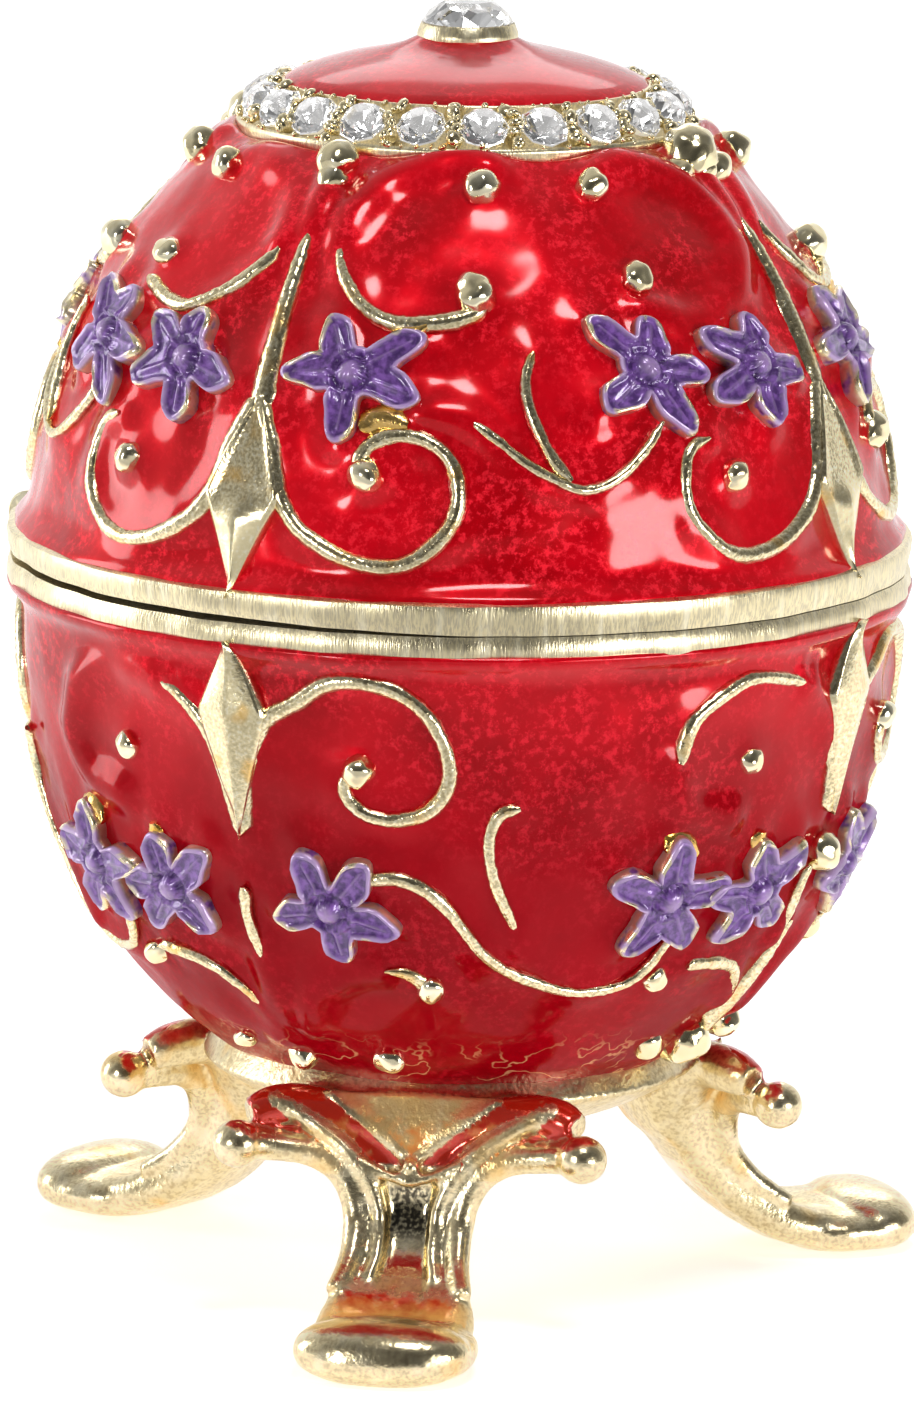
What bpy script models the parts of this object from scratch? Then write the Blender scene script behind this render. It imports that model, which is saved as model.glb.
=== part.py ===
"""Egg trinket box on three legs: a hinged lid, a hollow base, a gilt stand and set stones.

Sizes are metres. Heights are measured from the floor under the feet, and the egg's own axis
is X = Y = 0 until the last step, which centres the footprint on the origin. The hinge is at +Y
and the front of the box faces -Y.
"""

import math

import bmesh
import bpy
import numpy as np
from mathutils import Matrix, Vector

MM = 0.001

# Egg: the curve of the two shells, and the gilt bands where they meet
EGG_LIFT = 8.5 * MM  # from the floor to the egg's lowest point
SEAM_GAP = 0.3 * MM
BAND_HEIGHT = 1.45 * MM
LID_RISE = 22.9 * MM
LID_FULLNESS = 2.0
BASE_RADIUS = 19.8 * MM
LID_INSET = 0.3 * MM
LID_RADIUS = BASE_RADIUS - LID_INSET  # at the seam the lid is the slimmer half
BAND_PROUD = 0.7 * MM
BAND_RADIUS = BASE_RADIUS + BAND_PROUD  # one radius for both rim bands, so they meet flush
BASE_DEPTH = 25.2 * MM
BASE_FULLNESS = 2.3
SEAM_HEIGHT = EGG_LIFT + BASE_DEPTH
EGG_FOOT_DEPTH = 0.97 * BASE_DEPTH  # the egg's foot is flat from here
LID_CEILING_RISE = 0.96 * LID_RISE  # and the lid's ceiling from here
WALL = 2.0 * MM

# Crown of the lid: the stone channel, the dome above it and the collar of the top stone
CHANNEL_LOW_RADIUS = 10.3 * MM
CHANNEL_LOW_RISE = 20.0 * MM
CHANNEL_HIGH_RADIUS = 8.4 * MM
CHANNEL_HIGH_RISE = 21.6 * MM
CHANNEL_RIM = 0.12 * MM
CHANNEL_DEPTH = 0.75 * MM
LIP_HEIGHT = 0.55 * MM
DOME_MID_RADIUS = 5.2 * MM
DOME_MID_RISE = 22.55 * MM
COLLAR_RADIUS = 2.3 * MM
COLLAR_RISE = 23.75 * MM
COLLAR_FOOT_RISE = 23.35 * MM

# Stones
STONE_COUNT = 21
STONE_GAP = 0.15 * MM
STONE_CROWN = 0.62 * MM
STONE_TABLE = 0.55
CROWN_STONE_RADIUS = 1.9 * MM
CROWN_STONE_TOP = 25.25 * MM
CROWN_STONE_SEAT = 1.0 * MM

# Hinge at the back
BARREL_RADIUS = 1.05 * MM
BARREL_OFFSET = 0.8 * MM
LID_KNUCKLE = 2.0 * MM
BASE_KNUCKLE = 1.7 * MM
KNUCKLE_GAP = 0.3 * MM
PIN_RADIUS = 0.4 * MM
PIN_CLEARANCE = 0.15 * MM
LEAF_THICKNESS = 0.8 * MM

# Stand: a bowl round the egg's foot and three legs
STAND_TURN = math.radians(-8.5)
LEG_COUNT = 3
BOWL_HOLD = 2.8 * MM  # how much of the egg's foot the bowl holds
BOWL_RIM_DEPTH = BASE_DEPTH - BOWL_HOLD
BOWL_WALL = 1.0 * MM
SEAT_GAP = 0.3 * MM
PAD_CENTRE = 19.4 * MM
PAD_LENGTH = 7.0 * MM
PAD_WIDTH = 8.0 * MM
PAD_THICKNESS = 2.2 * MM
PAD_EDGE = 0.7 * MM
LEG_WIDTH = 5.3 * MM
ARM_SPREAD = 7.8 * MM
ARM_RADIUS = 1.0 * MM
RIDGE_RADIUS = 0.6 * MM
KNOB_RADIUS = 0.88 * MM

# Relief: how far the ribs, leaves and flowers stand off the wall, and how deep they root in it
ROOT = 0.35 * MM
RIB_HEIGHT = 0.5 * MM
RIB_STEP = 2.7 * MM
LEAF_HEIGHT = 0.75 * MM
FLOWER_RADIUS = 3.0 * MM
FLOWER_HEIGHT = 0.75 * MM
EYE_HEIGHT = 0.35 * MM
BEAD_RADIUS = 0.78 * MM

# Facets round the turned shapes
TURN_STEPS = 24
PANELS = 4

PARTS = "jewelled_egg_box"
HELPERS = "fused_into_castings"


# Materials and small helpers

def material(name, colour, metallic, roughness):
    """A plain material of one colour."""
    made = bpy.data.materials.new(name)
    made.use_nodes = True
    shader = made.node_tree.nodes["Principled BSDF"]
    shader.inputs["Base Color"].default_value = (*colour, 1)
    shader.inputs["Metallic"].default_value = metallic
    shader.inputs["Roughness"].default_value = roughness
    made.diffuse_color = (*colour, 1)
    return made


def place(name, mesh, group, finish=None):
    """Puts a mesh in the scene as an object of the group."""
    made = bpy.data.objects.new(name, mesh)
    bpy.data.collections[group].objects.link(made)
    if group == HELPERS:
        made.hide_render = True
        made.display_type = "WIRE"
    if finish:
        mesh.materials.append(finish)
    return made


def solid_from(name, shape, group=HELPERS, finish=None):
    """Turns a bmesh into an object whose faces point outward."""
    bmesh.ops.recalc_face_normals(shape, faces=shape.faces)
    mesh = bpy.data.meshes.new(name)
    shape.to_mesh(mesh)
    shape.free()
    return place(name, mesh, group, finish)


def turned(name, profile, group, finish=None, steps=TURN_STEPS):
    """A solid turned about the egg's axis from (radius, height) points that run down its outside."""
    mesh = bpy.data.meshes.new(name)
    count = len(profile)
    mesh.from_pydata([(r, 0, z) for r, z in profile], [(i, i + 1) for i in range(count - 1)], [])
    made = place(name, mesh, group, finish)
    screw = made.modifiers.new("turn", "SCREW")
    screw.steps = screw.render_steps = steps
    screw.use_merge_vertices = True
    screw.merge_threshold = 0.01 * MM
    return made


def fuse(target, pieces):
    """Joins pieces to the target, so that they are one casting."""
    group = bpy.data.collections.new(target.name + "_relief")
    for piece in pieces:
        group.objects.link(piece)
    joined = target.modifiers.new("joined", "BOOLEAN")
    joined.operation = "UNION"
    joined.operand_type = "COLLECTION"
    joined.collection = group


def cut(target, cutter):
    """Takes the cutter out of the target."""
    taken = target.modifiers.new(cutter.name, "BOOLEAN")
    taken.operation = "DIFFERENCE"
    taken.object = cutter


def freeze(made, sharp=math.radians(32)):
    """Makes the object's modifiers part of its mesh, and shades it smooth between sharp edges."""
    graph = bpy.context.evaluated_depsgraph_get()
    mesh = bpy.data.meshes.new_from_object(made.evaluated_get(graph))
    made.modifiers.clear()
    made.data = mesh
    mesh.shade_smooth()
    mesh.set_sharp_from_angle(angle=sharp)


def smooth_line(points, step):
    """Points about a step apart on a smooth curve through the given (across, up) points."""
    knots = [np.array(p, float) * MM for p in points]
    ends = [2 * knots[0] - knots[1], *knots, 2 * knots[-1] - knots[-2]]
    line = [knots[0]]
    for a, b, c, d in zip(ends, ends[1:], ends[2:], ends[3:]):
        count = max(1, round(np.linalg.norm(c - b) / step))
        for k in range(1, count + 1):
            t = k / count
            line.append(0.5 * (2 * b + (c - a) * t + (2 * a - 5 * b + 4 * c - d) * t**2
                               + (3 * b - a - 3 * c + d) * t**3))
    return line


class Wall:
    """The outside of one shell, measured round from a stem and along its curve from the seam."""

    def __init__(self, radius, height, fullness, side):
        fall = np.linspace(0, 0.985, 400)
        heights = fall * height
        radii = radius * (1 - fall**fullness) ** (1 / fullness)
        runs = np.hypot(np.diff(heights), np.diff(radii))
        self.run = np.concatenate([[0], np.cumsum(runs)])
        self.radii = radii
        self.heights = heights
        self.side = side

    def run_at(self, height):
        return float(np.interp(height, self.heights, self.run))

    def radius_at(self, height):
        return float(np.interp(height, self.heights, self.radii))

    def point(self, turn, across, up, proud=0.0):
        """A point `across` from the stem at angle `turn`, `up` along the wall, `proud` of it."""
        r = float(np.interp(up, self.run, self.radii))
        h = float(np.interp(up, self.run, self.heights))
        slope = 0.2 * MM
        dr = float(np.interp(up + slope, self.run, self.radii)) - r
        dh = float(np.interp(up + slope, self.run, self.heights)) - h
        length = math.hypot(dr, dh)
        angle = turn + across / r
        out = r + proud * dh / length
        rise = self.side * (h - proud * dr / length)
        return Vector((out * math.cos(angle), out * math.sin(angle), SEAM_HEIGHT + rise))

    def outward(self, turn, across, up):
        return (self.point(turn, across, up, MM) - self.point(turn, across, up)).normalized()

    def profile(self, low, high, count, inset=0.0):
        """(radius, height) points from the seam's side to the far end of a stretch of the wall."""
        made = []
        for height in np.linspace(low, high, count):
            at = self.point(0, 0, self.run_at(float(height)), -inset)
            made.append((at.x, at.z))
        return made


LID_WALL = Wall(LID_RADIUS, LID_RISE, LID_FULLNESS, 1)
BASE_WALL = Wall(BASE_RADIUS, BASE_DEPTH, BASE_FULLNESS, -1)


# Relief on the walls

def rib(name, wall, turn, line, start_width, end_width, height=RIB_HEIGHT):
    """A raised scroll: a rib with a sharp crest along a smooth line, tapering between two widths."""
    path = smooth_line(line, RIB_STEP)
    shape = bmesh.new()
    rings = []
    for i, at in enumerate(path):
        ahead = path[min(i + 1, len(path) - 1)] - path[max(i - 1, 0)]
        ahead = ahead / np.linalg.norm(ahead)
        share = i / (len(path) - 1)
        half = (start_width + (end_width - start_width) * share) / 2 * (height + ROOT) / height
        side = np.array([-ahead[1], ahead[0]]) * half
        rings.append([
            shape.verts.new(wall.point(turn, *(at + side), -ROOT)),
            shape.verts.new(wall.point(turn, *at, height)),
            shape.verts.new(wall.point(turn, *(at - side), -ROOT)),
        ])
    for one, two in zip(rings, rings[1:]):
        for k in range(3):
            shape.faces.new((one[k], one[k - 1], two[k - 1], two[k]))
    shape.faces.new(rings[0])
    shape.faces.new(rings[-1])
    return solid_from(name, shape)


def bead(name, wall, turn, across, up, radius=BEAD_RADIUS, sunk=0.35):
    """A round bead, sunk in the wall by a share of its radius."""
    shape = bmesh.new()
    bmesh.ops.create_icosphere(shape, subdivisions=1, radius=radius)
    across, up = across * MM, up * MM
    facing = wall.outward(turn, across, up).to_track_quat("Z", "X").to_matrix().to_4x4()
    centre = wall.point(turn, across, up, radius * (1 - 2 * sunk))
    bmesh.ops.transform(shape, matrix=Matrix.Translation(centre) @ facing, verts=shape.verts)
    return solid_from(name, shape)


def spear(name, wall, turn, head, waist, tip, half_width):
    """A creased leaf with a long point, like a spear head."""
    spread = (LEAF_HEIGHT + ROOT) / LEAF_HEIGHT
    outline = [(0, waist + (head - waist) * spread), (half_width * spread, waist),
               (0, waist + (tip - waist) * spread), (-half_width * spread, waist)]
    shape = bmesh.new()
    ring = [shape.verts.new(wall.point(turn, x * MM, y * MM, -ROOT)) for x, y in outline]
    crest = shape.verts.new(wall.point(turn, 0, waist * MM, LEAF_HEIGHT))
    for one, two in zip(ring, ring[1:] + ring[:1]):
        shape.faces.new((one, two, crest))
    shape.faces.new(ring)
    return solid_from(name, shape)


def flower(name, wall, turn, across, up, lean):
    """Five pointed petals, each with a raised edge and a furrow, round a raised middle."""
    shape = bmesh.new()
    across, up = across * MM, up * MM

    def at(length, angle, proud):
        spot = (across + length * math.cos(angle), up + length * math.sin(angle))
        return shape.verts.new(wall.point(turn, *spot, proud))

    petal = math.tau / 5
    edge, foot, middles = [], [], []
    for k in range(5):
        angle = math.radians(lean) + k * petal
        for share, off, height in ((1.0, 0, 0.7), (0.44, petal / 2, 1.0)):
            edge.append(at(FLOWER_RADIUS * share, angle + off, FLOWER_HEIGHT * height))
            foot.append(at(FLOWER_RADIUS * (share + 0.04), angle + off, -ROOT))
        middles.append(at(FLOWER_RADIUS * 0.45, angle, FLOWER_HEIGHT * 0.5))
    centre = at(0, 0, FLOWER_HEIGHT + EYE_HEIGHT)
    count = len(edge)
    for k, middle in enumerate(middles):
        rim = [edge[(2 * k + step) % count] for step in (-1, 0, 1)] + [centre]
        for one, two in zip(rim, rim[1:] + rim[:1]):
            shape.faces.new((middle, one, two))
    for k in range(count):
        shape.faces.new((edge[k], foot[k], foot[k - 1], edge[k - 1]))
    shape.faces.new(foot)
    return solid_from(name, shape)


def mirrored(points):
    return [(-x, y) for x, y in points]


# The pattern, in mm across from a stem (or from the middle between two stems) and up the wall
LID_CURL = [(0.1, 9.6), (1.4, 6.2), (3.7, 3.6), (6.4, 2.7), (9.0, 3.8), (9.6, 6.2), (7.8, 8.3), (5.4, 7.9)]
LID_ARCH = [(6.5, 21.5), (4.4, 22.0), (2.3, 20.2), (1.6, 17.4), (3.0, 14.8), (5.6, 13.5), (8.4, 14.1)]
LID_SWAG = [(-6.75, 9.6), (-4.5, 9.1), (-1.0, 6.6), (1.5, 6.35), (4.1, 8.85)]
LID_SPRIG = [(-1.5, 12.2), (-1.95, 10.3), (-0.4, 6.7)]
LID_FLOWERS = ((-10.0, 11.0, -7), (-4.1, 11.0, -8), (4.1, 11.0, 43))
BASE_CURL = [(0.0, 9.8), (0.5, 6.6), (2.3, 3.7), (6.2, 2.3), (9.2, 4.3), (9.4, 7.4), (7.0, 8.6), (5.0, 7.1)]
BASE_SWAG = [(-8.5, 11.6), (-6.6, 11.7), (-3.6, 14.9), (1.2, 17.6), (3.9, 17.0), (5.4, 14.8)]
BASE_SPRIG = [(-2.4, 7.9), (-3.6, 9.6), (-2.4, 13.3), (0.0, 17.0)]
BASE_HOOK = [(7.2, 16.8), (4.6, 16.6), (2.0, 18.1), (0.9, 20.6)]
BASE_FLOWERS = ((-9.3, 12.7, -20), (-4.2, 12.9, 40), (3.8, 13.0, 22))


def lid_relief(turn, tag):
    """The lid's stem, scrolls, leaves, beads and flowers of one quarter."""
    wall = LID_WALL
    between = turn + math.pi / PANELS
    made = [
        rib(f"stem{tag}", wall, turn, [(0, 9.2), (0.1, 14.5), (0, 20.5)], 1.0 * MM, 0.5 * MM),
        spear(f"spear{tag}", wall, turn, 8.4, 5.3, 1.7, 1.4),
        bead(f"knob{tag}", wall, turn, 0, 21.3, 1.1 * MM, 0.2),
        rib(f"swag{tag}", wall, between, LID_SWAG, 0.45 * MM, 0.35 * MM),
        rib(f"sprig{tag}", wall, between, LID_SPRIG, 0.3 * MM, 0.5 * MM),
    ]
    for side, flip in (("a", list), ("b", mirrored)):
        made.append(rib(f"curl{tag}{side}", wall, turn, flip(LID_CURL), 0.75 * MM, 0.4 * MM))
        made.append(rib(f"arch{tag}{side}", wall, turn, flip(LID_ARCH), 0.4 * MM, 0.5 * MM))
        for spot in flip([(5.5, 6.7), (8.6, 14.9), (6.6, 20.6)]):
            made.append(bead(f"bead{tag}{side}", wall, turn, *spot))
    for k, spot in enumerate(LID_FLOWERS):
        made.append(flower(f"flower{tag}{k}", wall, turn, *spot))
    return made


def base_relief(turn, tag):
    """The base's leaf, scrolls, beads and flowers of one quarter."""
    wall = BASE_WALL
    between = turn + math.pi / PANELS
    made = [
        rib(f"stem{tag}", wall, turn, [(0, 12.4), (0, 16.5), (0, 20.5)], 0.5 * MM, 0.4 * MM),
        spear(f"spear{tag}", wall, turn, 2.0, 4.0, 9.0, 1.5),
        rib(f"swag{tag}", wall, between, BASE_SWAG, 0.5 * MM, 0.35 * MM),
        rib(f"sprig{tag}", wall, between, BASE_SPRIG, 0.35 * MM, 0.45 * MM),
    ]
    for side, flip in (("a", list), ("b", mirrored)):
        made.append(rib(f"curl{tag}{side}", wall, turn, flip(BASE_CURL), 0.7 * MM, 0.35 * MM))
        made.append(rib(f"hook{tag}{side}", wall, turn, flip(BASE_HOOK), 0.6 * MM, 0.35 * MM))
        for spot in flip([(5.7, 6.5), (7.4, 17.5)]):
            made.append(bead(f"bead{tag}{side}", wall, turn, *spot))
    for k, spot in enumerate(BASE_FLOWERS):
        made.append(flower(f"flower{tag}{k}", wall, turn, *spot))
    return made


# Hinge

HINGE_Y = BAND_RADIUS + BARREL_OFFSET
BARREL_LENGTH = LID_KNUCKLE + 2 * BASE_KNUCKLE + 2 * KNUCKLE_GAP
BORE_RADIUS = PIN_RADIUS + PIN_CLEARANCE


def along_hinge(name, radius, length, x=0.0, group=HELPERS, finish=None, facets=16):
    """A cylinder on the hinge's axis, centred at x."""
    shape = bmesh.new()
    bmesh.ops.create_cone(shape, cap_ends=True, segments=facets, radius1=radius, radius2=radius, depth=length)
    where = Matrix.Translation((x, HINGE_Y, SEAM_HEIGHT)) @ Matrix.Rotation(math.pi / 2, 4, "Y")
    bmesh.ops.transform(shape, matrix=where, verts=shape.verts)
    return solid_from(name, shape, group, finish)


def hinge_leaf(name, length, x, side):
    """The tab that ties a knuckle to the band above (side 1) or below (side -1) the seam."""
    shape = bmesh.new()
    bmesh.ops.create_cube(shape, size=1)
    inner = BAND_RADIUS - WALL / 2
    size = (length, HINGE_Y - inner, LEAF_THICKNESS)
    centre = (x, (HINGE_Y + inner) / 2, SEAM_HEIGHT + side * (SEAM_GAP + LEAF_THICKNESS / 2))
    bmesh.ops.transform(shape, matrix=Matrix.Translation(centre) @ Matrix.Diagonal((*size, 1)),
                        verts=shape.verts)
    return solid_from(name, shape)


KNUCKLE_SHIFT = (LID_KNUCKLE + BASE_KNUCKLE) / 2 + KNUCKLE_GAP


# The pieces

def make_lid(gold_and_red):
    """The lid: crown, stone channel, egg wall and band outside, a plain egg wall inside."""
    rise = SEAM_HEIGHT
    slope = Vector((CHANNEL_LOW_RADIUS - CHANNEL_HIGH_RADIUS, CHANNEL_LOW_RISE - CHANNEL_HIGH_RISE))
    along = slope.normalized()
    into = Vector((along.y, -along.x))
    high = Vector((CHANNEL_HIGH_RADIUS, rise + CHANNEL_HIGH_RISE))
    low = Vector((CHANNEL_LOW_RADIUS, rise + CHANNEL_LOW_RISE))
    groove = [high + along * CHANNEL_RIM, high + along * CHANNEL_RIM + into * CHANNEL_DEPTH,
              low - along * CHANNEL_RIM + into * CHANNEL_DEPTH, low - along * CHANNEL_RIM]
    lip_foot = CHANNEL_LOW_RISE - LIP_HEIGHT
    seat = CROWN_STONE_RADIUS + STONE_GAP
    floor = COLLAR_RISE - CROWN_STONE_SEAT - STONE_GAP
    top_of_band = SEAM_GAP / 2 + BAND_HEIGHT
    wall = LID_WALL.profile(top_of_band, lip_foot - 0.5 * MM, 6)
    inside = LID_WALL.profile(SEAM_GAP / 2, LID_CEILING_RISE, 5, WALL)
    profile = [
        (0, rise + floor), (seat, rise + floor), (seat, rise + COLLAR_RISE),
        (COLLAR_RADIUS, rise + COLLAR_RISE), (COLLAR_RADIUS, rise + COLLAR_FOOT_RISE),
        (DOME_MID_RADIUS, rise + DOME_MID_RISE), tuple(high - Vector((2 * CHANNEL_RIM, 0))), tuple(high),
        *(tuple(p) for p in groove), tuple(low), (CHANNEL_LOW_RADIUS, rise + lip_foot),
        *reversed(wall),
        (BAND_RADIUS, rise + top_of_band), (BAND_RADIUS, rise + SEAM_GAP / 2),
        *inside, (0, inside[-1][1]),
    ]
    lid = turned("egg_lid", profile, PARTS, gold_and_red)
    pieces = [along_hinge("lid_barrel", BARREL_RADIUS, LID_KNUCKLE),
              hinge_leaf("lid_leaf", LID_KNUCKLE, 0, 1)]
    for k in range(PANELS):
        pieces += lid_relief(k * math.tau / PANELS, f"_l{k}")
    for side in (-1, 1):
        cut(lid, along_hinge(f"lid_notch{side}", BARREL_RADIUS + KNUCKLE_GAP,
                             BASE_KNUCKLE + 2 * KNUCKLE_GAP, side * KNUCKLE_SHIFT))
    fuse(lid, pieces)
    cut(lid, along_hinge("lid_bore", BORE_RADIUS, LID_KNUCKLE + KNUCKLE_GAP))
    return lid


def make_base(gold_and_red):
    """The base: an egg wall and band outside, the hollow inside, open at the seam."""
    top = SEAM_HEIGHT - SEAM_GAP / 2
    wall = BASE_WALL.profile(SEAM_GAP / 2 + BAND_HEIGHT, EGG_FOOT_DEPTH, 6)
    inside = BASE_WALL.profile(SEAM_GAP / 2, EGG_FOOT_DEPTH, 5, WALL)
    profile = [
        (0, inside[-1][1]), *reversed(inside),
        (BAND_RADIUS, top), (BAND_RADIUS, top - BAND_HEIGHT),
        *wall, (0, wall[-1][1]),
    ]
    base = turned("egg_base", profile, PARTS, gold_and_red)
    pieces = []
    for side in (-1, 1):
        x = side * KNUCKLE_SHIFT
        pieces.append(along_hinge(f"base_barrel{side}", BARREL_RADIUS, BASE_KNUCKLE, x))
        pieces.append(hinge_leaf(f"base_leaf{side}", BASE_KNUCKLE, x, -1))
    for k in range(PANELS):
        pieces += base_relief(k * math.tau / PANELS, f"_b{k}")
    cut(base, along_hinge("base_notch", BARREL_RADIUS + KNUCKLE_GAP, LID_KNUCKLE + 2 * KNUCKLE_GAP))
    fuse(base, pieces)
    cut(base, along_hinge("base_bore", BORE_RADIUS, BARREL_LENGTH + KNUCKLE_GAP))
    return base


def stone_profile(radius, crown, table, depth):
    """(radius, height) points of a round stone whose widest part is at height 0."""
    return [(0, crown), (radius * table, crown), (radius, 0), (0, -depth)]


def make_ring_stones(crystal):
    """The stones set round the channel, each its own piece."""
    slope = Vector((CHANNEL_LOW_RADIUS - CHANNEL_HIGH_RADIUS, CHANNEL_LOW_RISE - CHANNEL_HIGH_RISE))
    radius = slope.length / 2 - CHANNEL_RIM - STONE_GAP
    depth = CHANNEL_DEPTH - STONE_GAP
    lean = math.atan2(slope.y, slope.x)
    middle = Vector(((CHANNEL_LOW_RADIUS + CHANNEL_HIGH_RADIUS) / 2, 0,
                     SEAM_HEIGHT + (CHANNEL_LOW_RISE + CHANNEL_HIGH_RISE) / 2))
    made = []
    for k in range(STONE_COUNT):
        stone = turned(f"ring_crystal_{k + 1:02d}", stone_profile(radius, STONE_CROWN, STONE_TABLE, depth),
                       PARTS, crystal, 8)
        stone.matrix_world = (Matrix.Rotation((k + 0.5) * math.tau / STONE_COUNT, 4, "Z")
                              @ Matrix.Translation(middle) @ Matrix.Rotation(-lean, 4, "Y"))
        made.append(stone)
    return made


def make_crown_stone(crystal):
    """The faceted stone on top."""
    rise = SEAM_HEIGHT + COLLAR_RISE + STONE_GAP
    top = SEAM_HEIGHT + CROWN_STONE_TOP
    r = CROWN_STONE_RADIUS
    profile = [(0, top), (r * 0.5, top), (r * 0.84, (rise + top) / 2 + 0.12 * MM), (r, rise),
               (r * 0.4, rise - CROWN_STONE_SEAT), (0, rise - CROWN_STONE_SEAT)]
    return turned("crown_crystal", profile, PARTS, crystal, 10)


# Stand

# Stations of a leg, top to bottom: front (out, down), back (out, down), share of the leg's width.
# Out runs from the wall at the bowl's rim (0) to the pad's middle (1), down from the rim (0) to the floor (1).
LEG_STATIONS = (
    ((0.092, 0.027), (-0.136, 0.142), 2.05),
    ((0.171, 0.177), (-0.226, 0.265), 1.6),
    ((0.216, 0.327), (-0.147, 0.407), 1.15),
    ((0.251, 0.478), (-0.011, 0.522), 1.0),
    ((0.341, 0.602), (0.126, 0.664), 1.0),
    ((0.5, 0.708), (0.319, 0.805), 1.12),
    ((0.727, 0.796), (0.58, 0.929), 1.34),
    ((1.0, 0.832), (0.886, 0.965), 1.3),
)
FURROWS = (0, 0, 0.25, 0.45, 0.45, 0.4, 0.2, 0)

# An arm and the ridge above it, from the leg outwards: out, share of the spread, down, share of the radius
ARM_STATIONS = (
    (0.182, 0.244, 0.425, 0.6),
    (0.194, 0.372, 0.283, 0.85),
    (0.205, 0.551, 0.186, 1.0),
    (0.228, 0.769, 0.15, 0.9),
    (0.273, 1.0, 0.23, 0.6),
)
RIDGE_STATIONS = (
    (0.216, 0.038, 0.345, 0.5),
    (0.182, 0.256, 0.212, 0.83),
    (0.114, 0.538, 0.08, 1.0),
    (0.046, 0.795, 0.035, 0.58),
)


def leg_point(turn, out, aside, down):
    """A point in a leg's own measures: out and down as shares, aside in metres."""
    rim = BASE_WALL.radius_at(BOWL_RIM_DEPTH)
    reach = rim + out * (PAD_CENTRE - rim)
    spot = Matrix.Rotation(turn, 4, "Z") @ Vector((reach, aside, 0))
    return Vector((spot.x, spot.y, (SEAM_HEIGHT - BOWL_RIM_DEPTH) * (1 - down)))


def make_leg(turn, tag):
    """The leg's body: a bracket at the bowl, then a furrowed column that sweeps out to the foot."""
    shape = bmesh.new()
    rings = []
    for (front, back, share), furrow in zip(LEG_STATIONS, FURROWS):
        half = LEG_WIDTH / 2 * share
        (fr, fz), (br, bz) = front, back
        depth = (leg_point(turn, fr, 0, fz) - leg_point(turn, br, 0, bz)).length
        hollow = furrow * MM / depth
        ring = []
        for aside, deep in ((-0.85, 1), (-1, 0.45), (-0.72, 0), (-0.38, hollow), (0.38, hollow),
                            (0.72, 0), (1, 0.45), (0.85, 1)):
            ring.append(shape.verts.new(leg_point(turn, fr + (br - fr) * deep, aside * half,
                                                  fz + (bz - fz) * deep)))
        rings.append(ring)
    for one, two in zip(rings, rings[1:]):
        for k in range(len(one)):
            shape.faces.new((one[k], one[k - 1], two[k - 1], two[k]))
    shape.faces.new(rings[0])
    shape.faces.new(rings[-1])
    return solid_from(f"leg{tag}", shape)


def make_pad(turn, tag):
    """The foot: an oval pad, flat underneath, with a rounded edge."""
    shape = bmesh.new()
    bmesh.ops.create_cone(shape, cap_ends=True, segments=14, radius1=1, radius2=1, depth=1)
    size = Matrix.Diagonal((PAD_LENGTH / 2, PAD_WIDTH / 2, PAD_THICKNESS, 1))
    where = Matrix.Rotation(turn, 4, "Z") @ Matrix.Translation((PAD_CENTRE, 0, PAD_THICKNESS / 2))
    bmesh.ops.transform(shape, matrix=where @ size, verts=shape.verts)
    rims = [e for e in shape.edges if abs(e.verts[0].co.z - e.verts[1].co.z) < PAD_THICKNESS / 2]
    bmesh.ops.bevel(shape, geom=rims, offset=PAD_EDGE, segments=1, affect="EDGES")
    return solid_from(f"pad{tag}", shape)


def tube(name, points, radii):
    """A tapering round bar through the points, as a closed mesh."""
    curve = bpy.data.curves.new(name, "CURVE")
    curve.dimensions = "3D"
    curve.bevel_depth = 1.0
    curve.bevel_resolution = 0
    curve.use_fill_caps = True
    spline = curve.splines.new("POLY")
    spline.points.add(len(points) - 1)
    for spot, at, radius in zip(spline.points, points, radii):
        spot.co = (*at, 1)
        spot.radius = radius
    guide = bpy.data.objects.new(name, curve)
    bpy.data.collections[HELPERS].objects.link(guide)
    graph = bpy.context.evaluated_depsgraph_get()
    shape = bmesh.new()
    shape.from_mesh(bpy.data.meshes.new_from_object(guide.evaluated_get(graph)))
    bpy.data.objects.remove(guide)
    bmesh.ops.remove_doubles(shape, verts=shape.verts, dist=0.001 * MM)
    return solid_from(name, shape)


def make_arm(turn, side, tag):
    """One of a leg's two arms, its knob and the ridge above it along the bowl."""
    made = []
    for name, stations, radius in (("ridge", RIDGE_STATIONS, RIDGE_RADIUS), ("arm", ARM_STATIONS, ARM_RADIUS)):
        points = [leg_point(turn, out, side * aside * ARM_SPREAD, down) for out, aside, down, _ in stations]
        made.append(tube(name + tag, points, [share * radius for *_, share in stations]))
    knob = points[-1]
    shape = bmesh.new()
    bmesh.ops.create_uvsphere(shape, u_segments=6, v_segments=4, radius=KNOB_RADIUS)
    bmesh.ops.transform(shape, matrix=Matrix.Translation(knob), verts=shape.verts)
    return [solid_from(f"knob{tag}", shape), *made]


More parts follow.
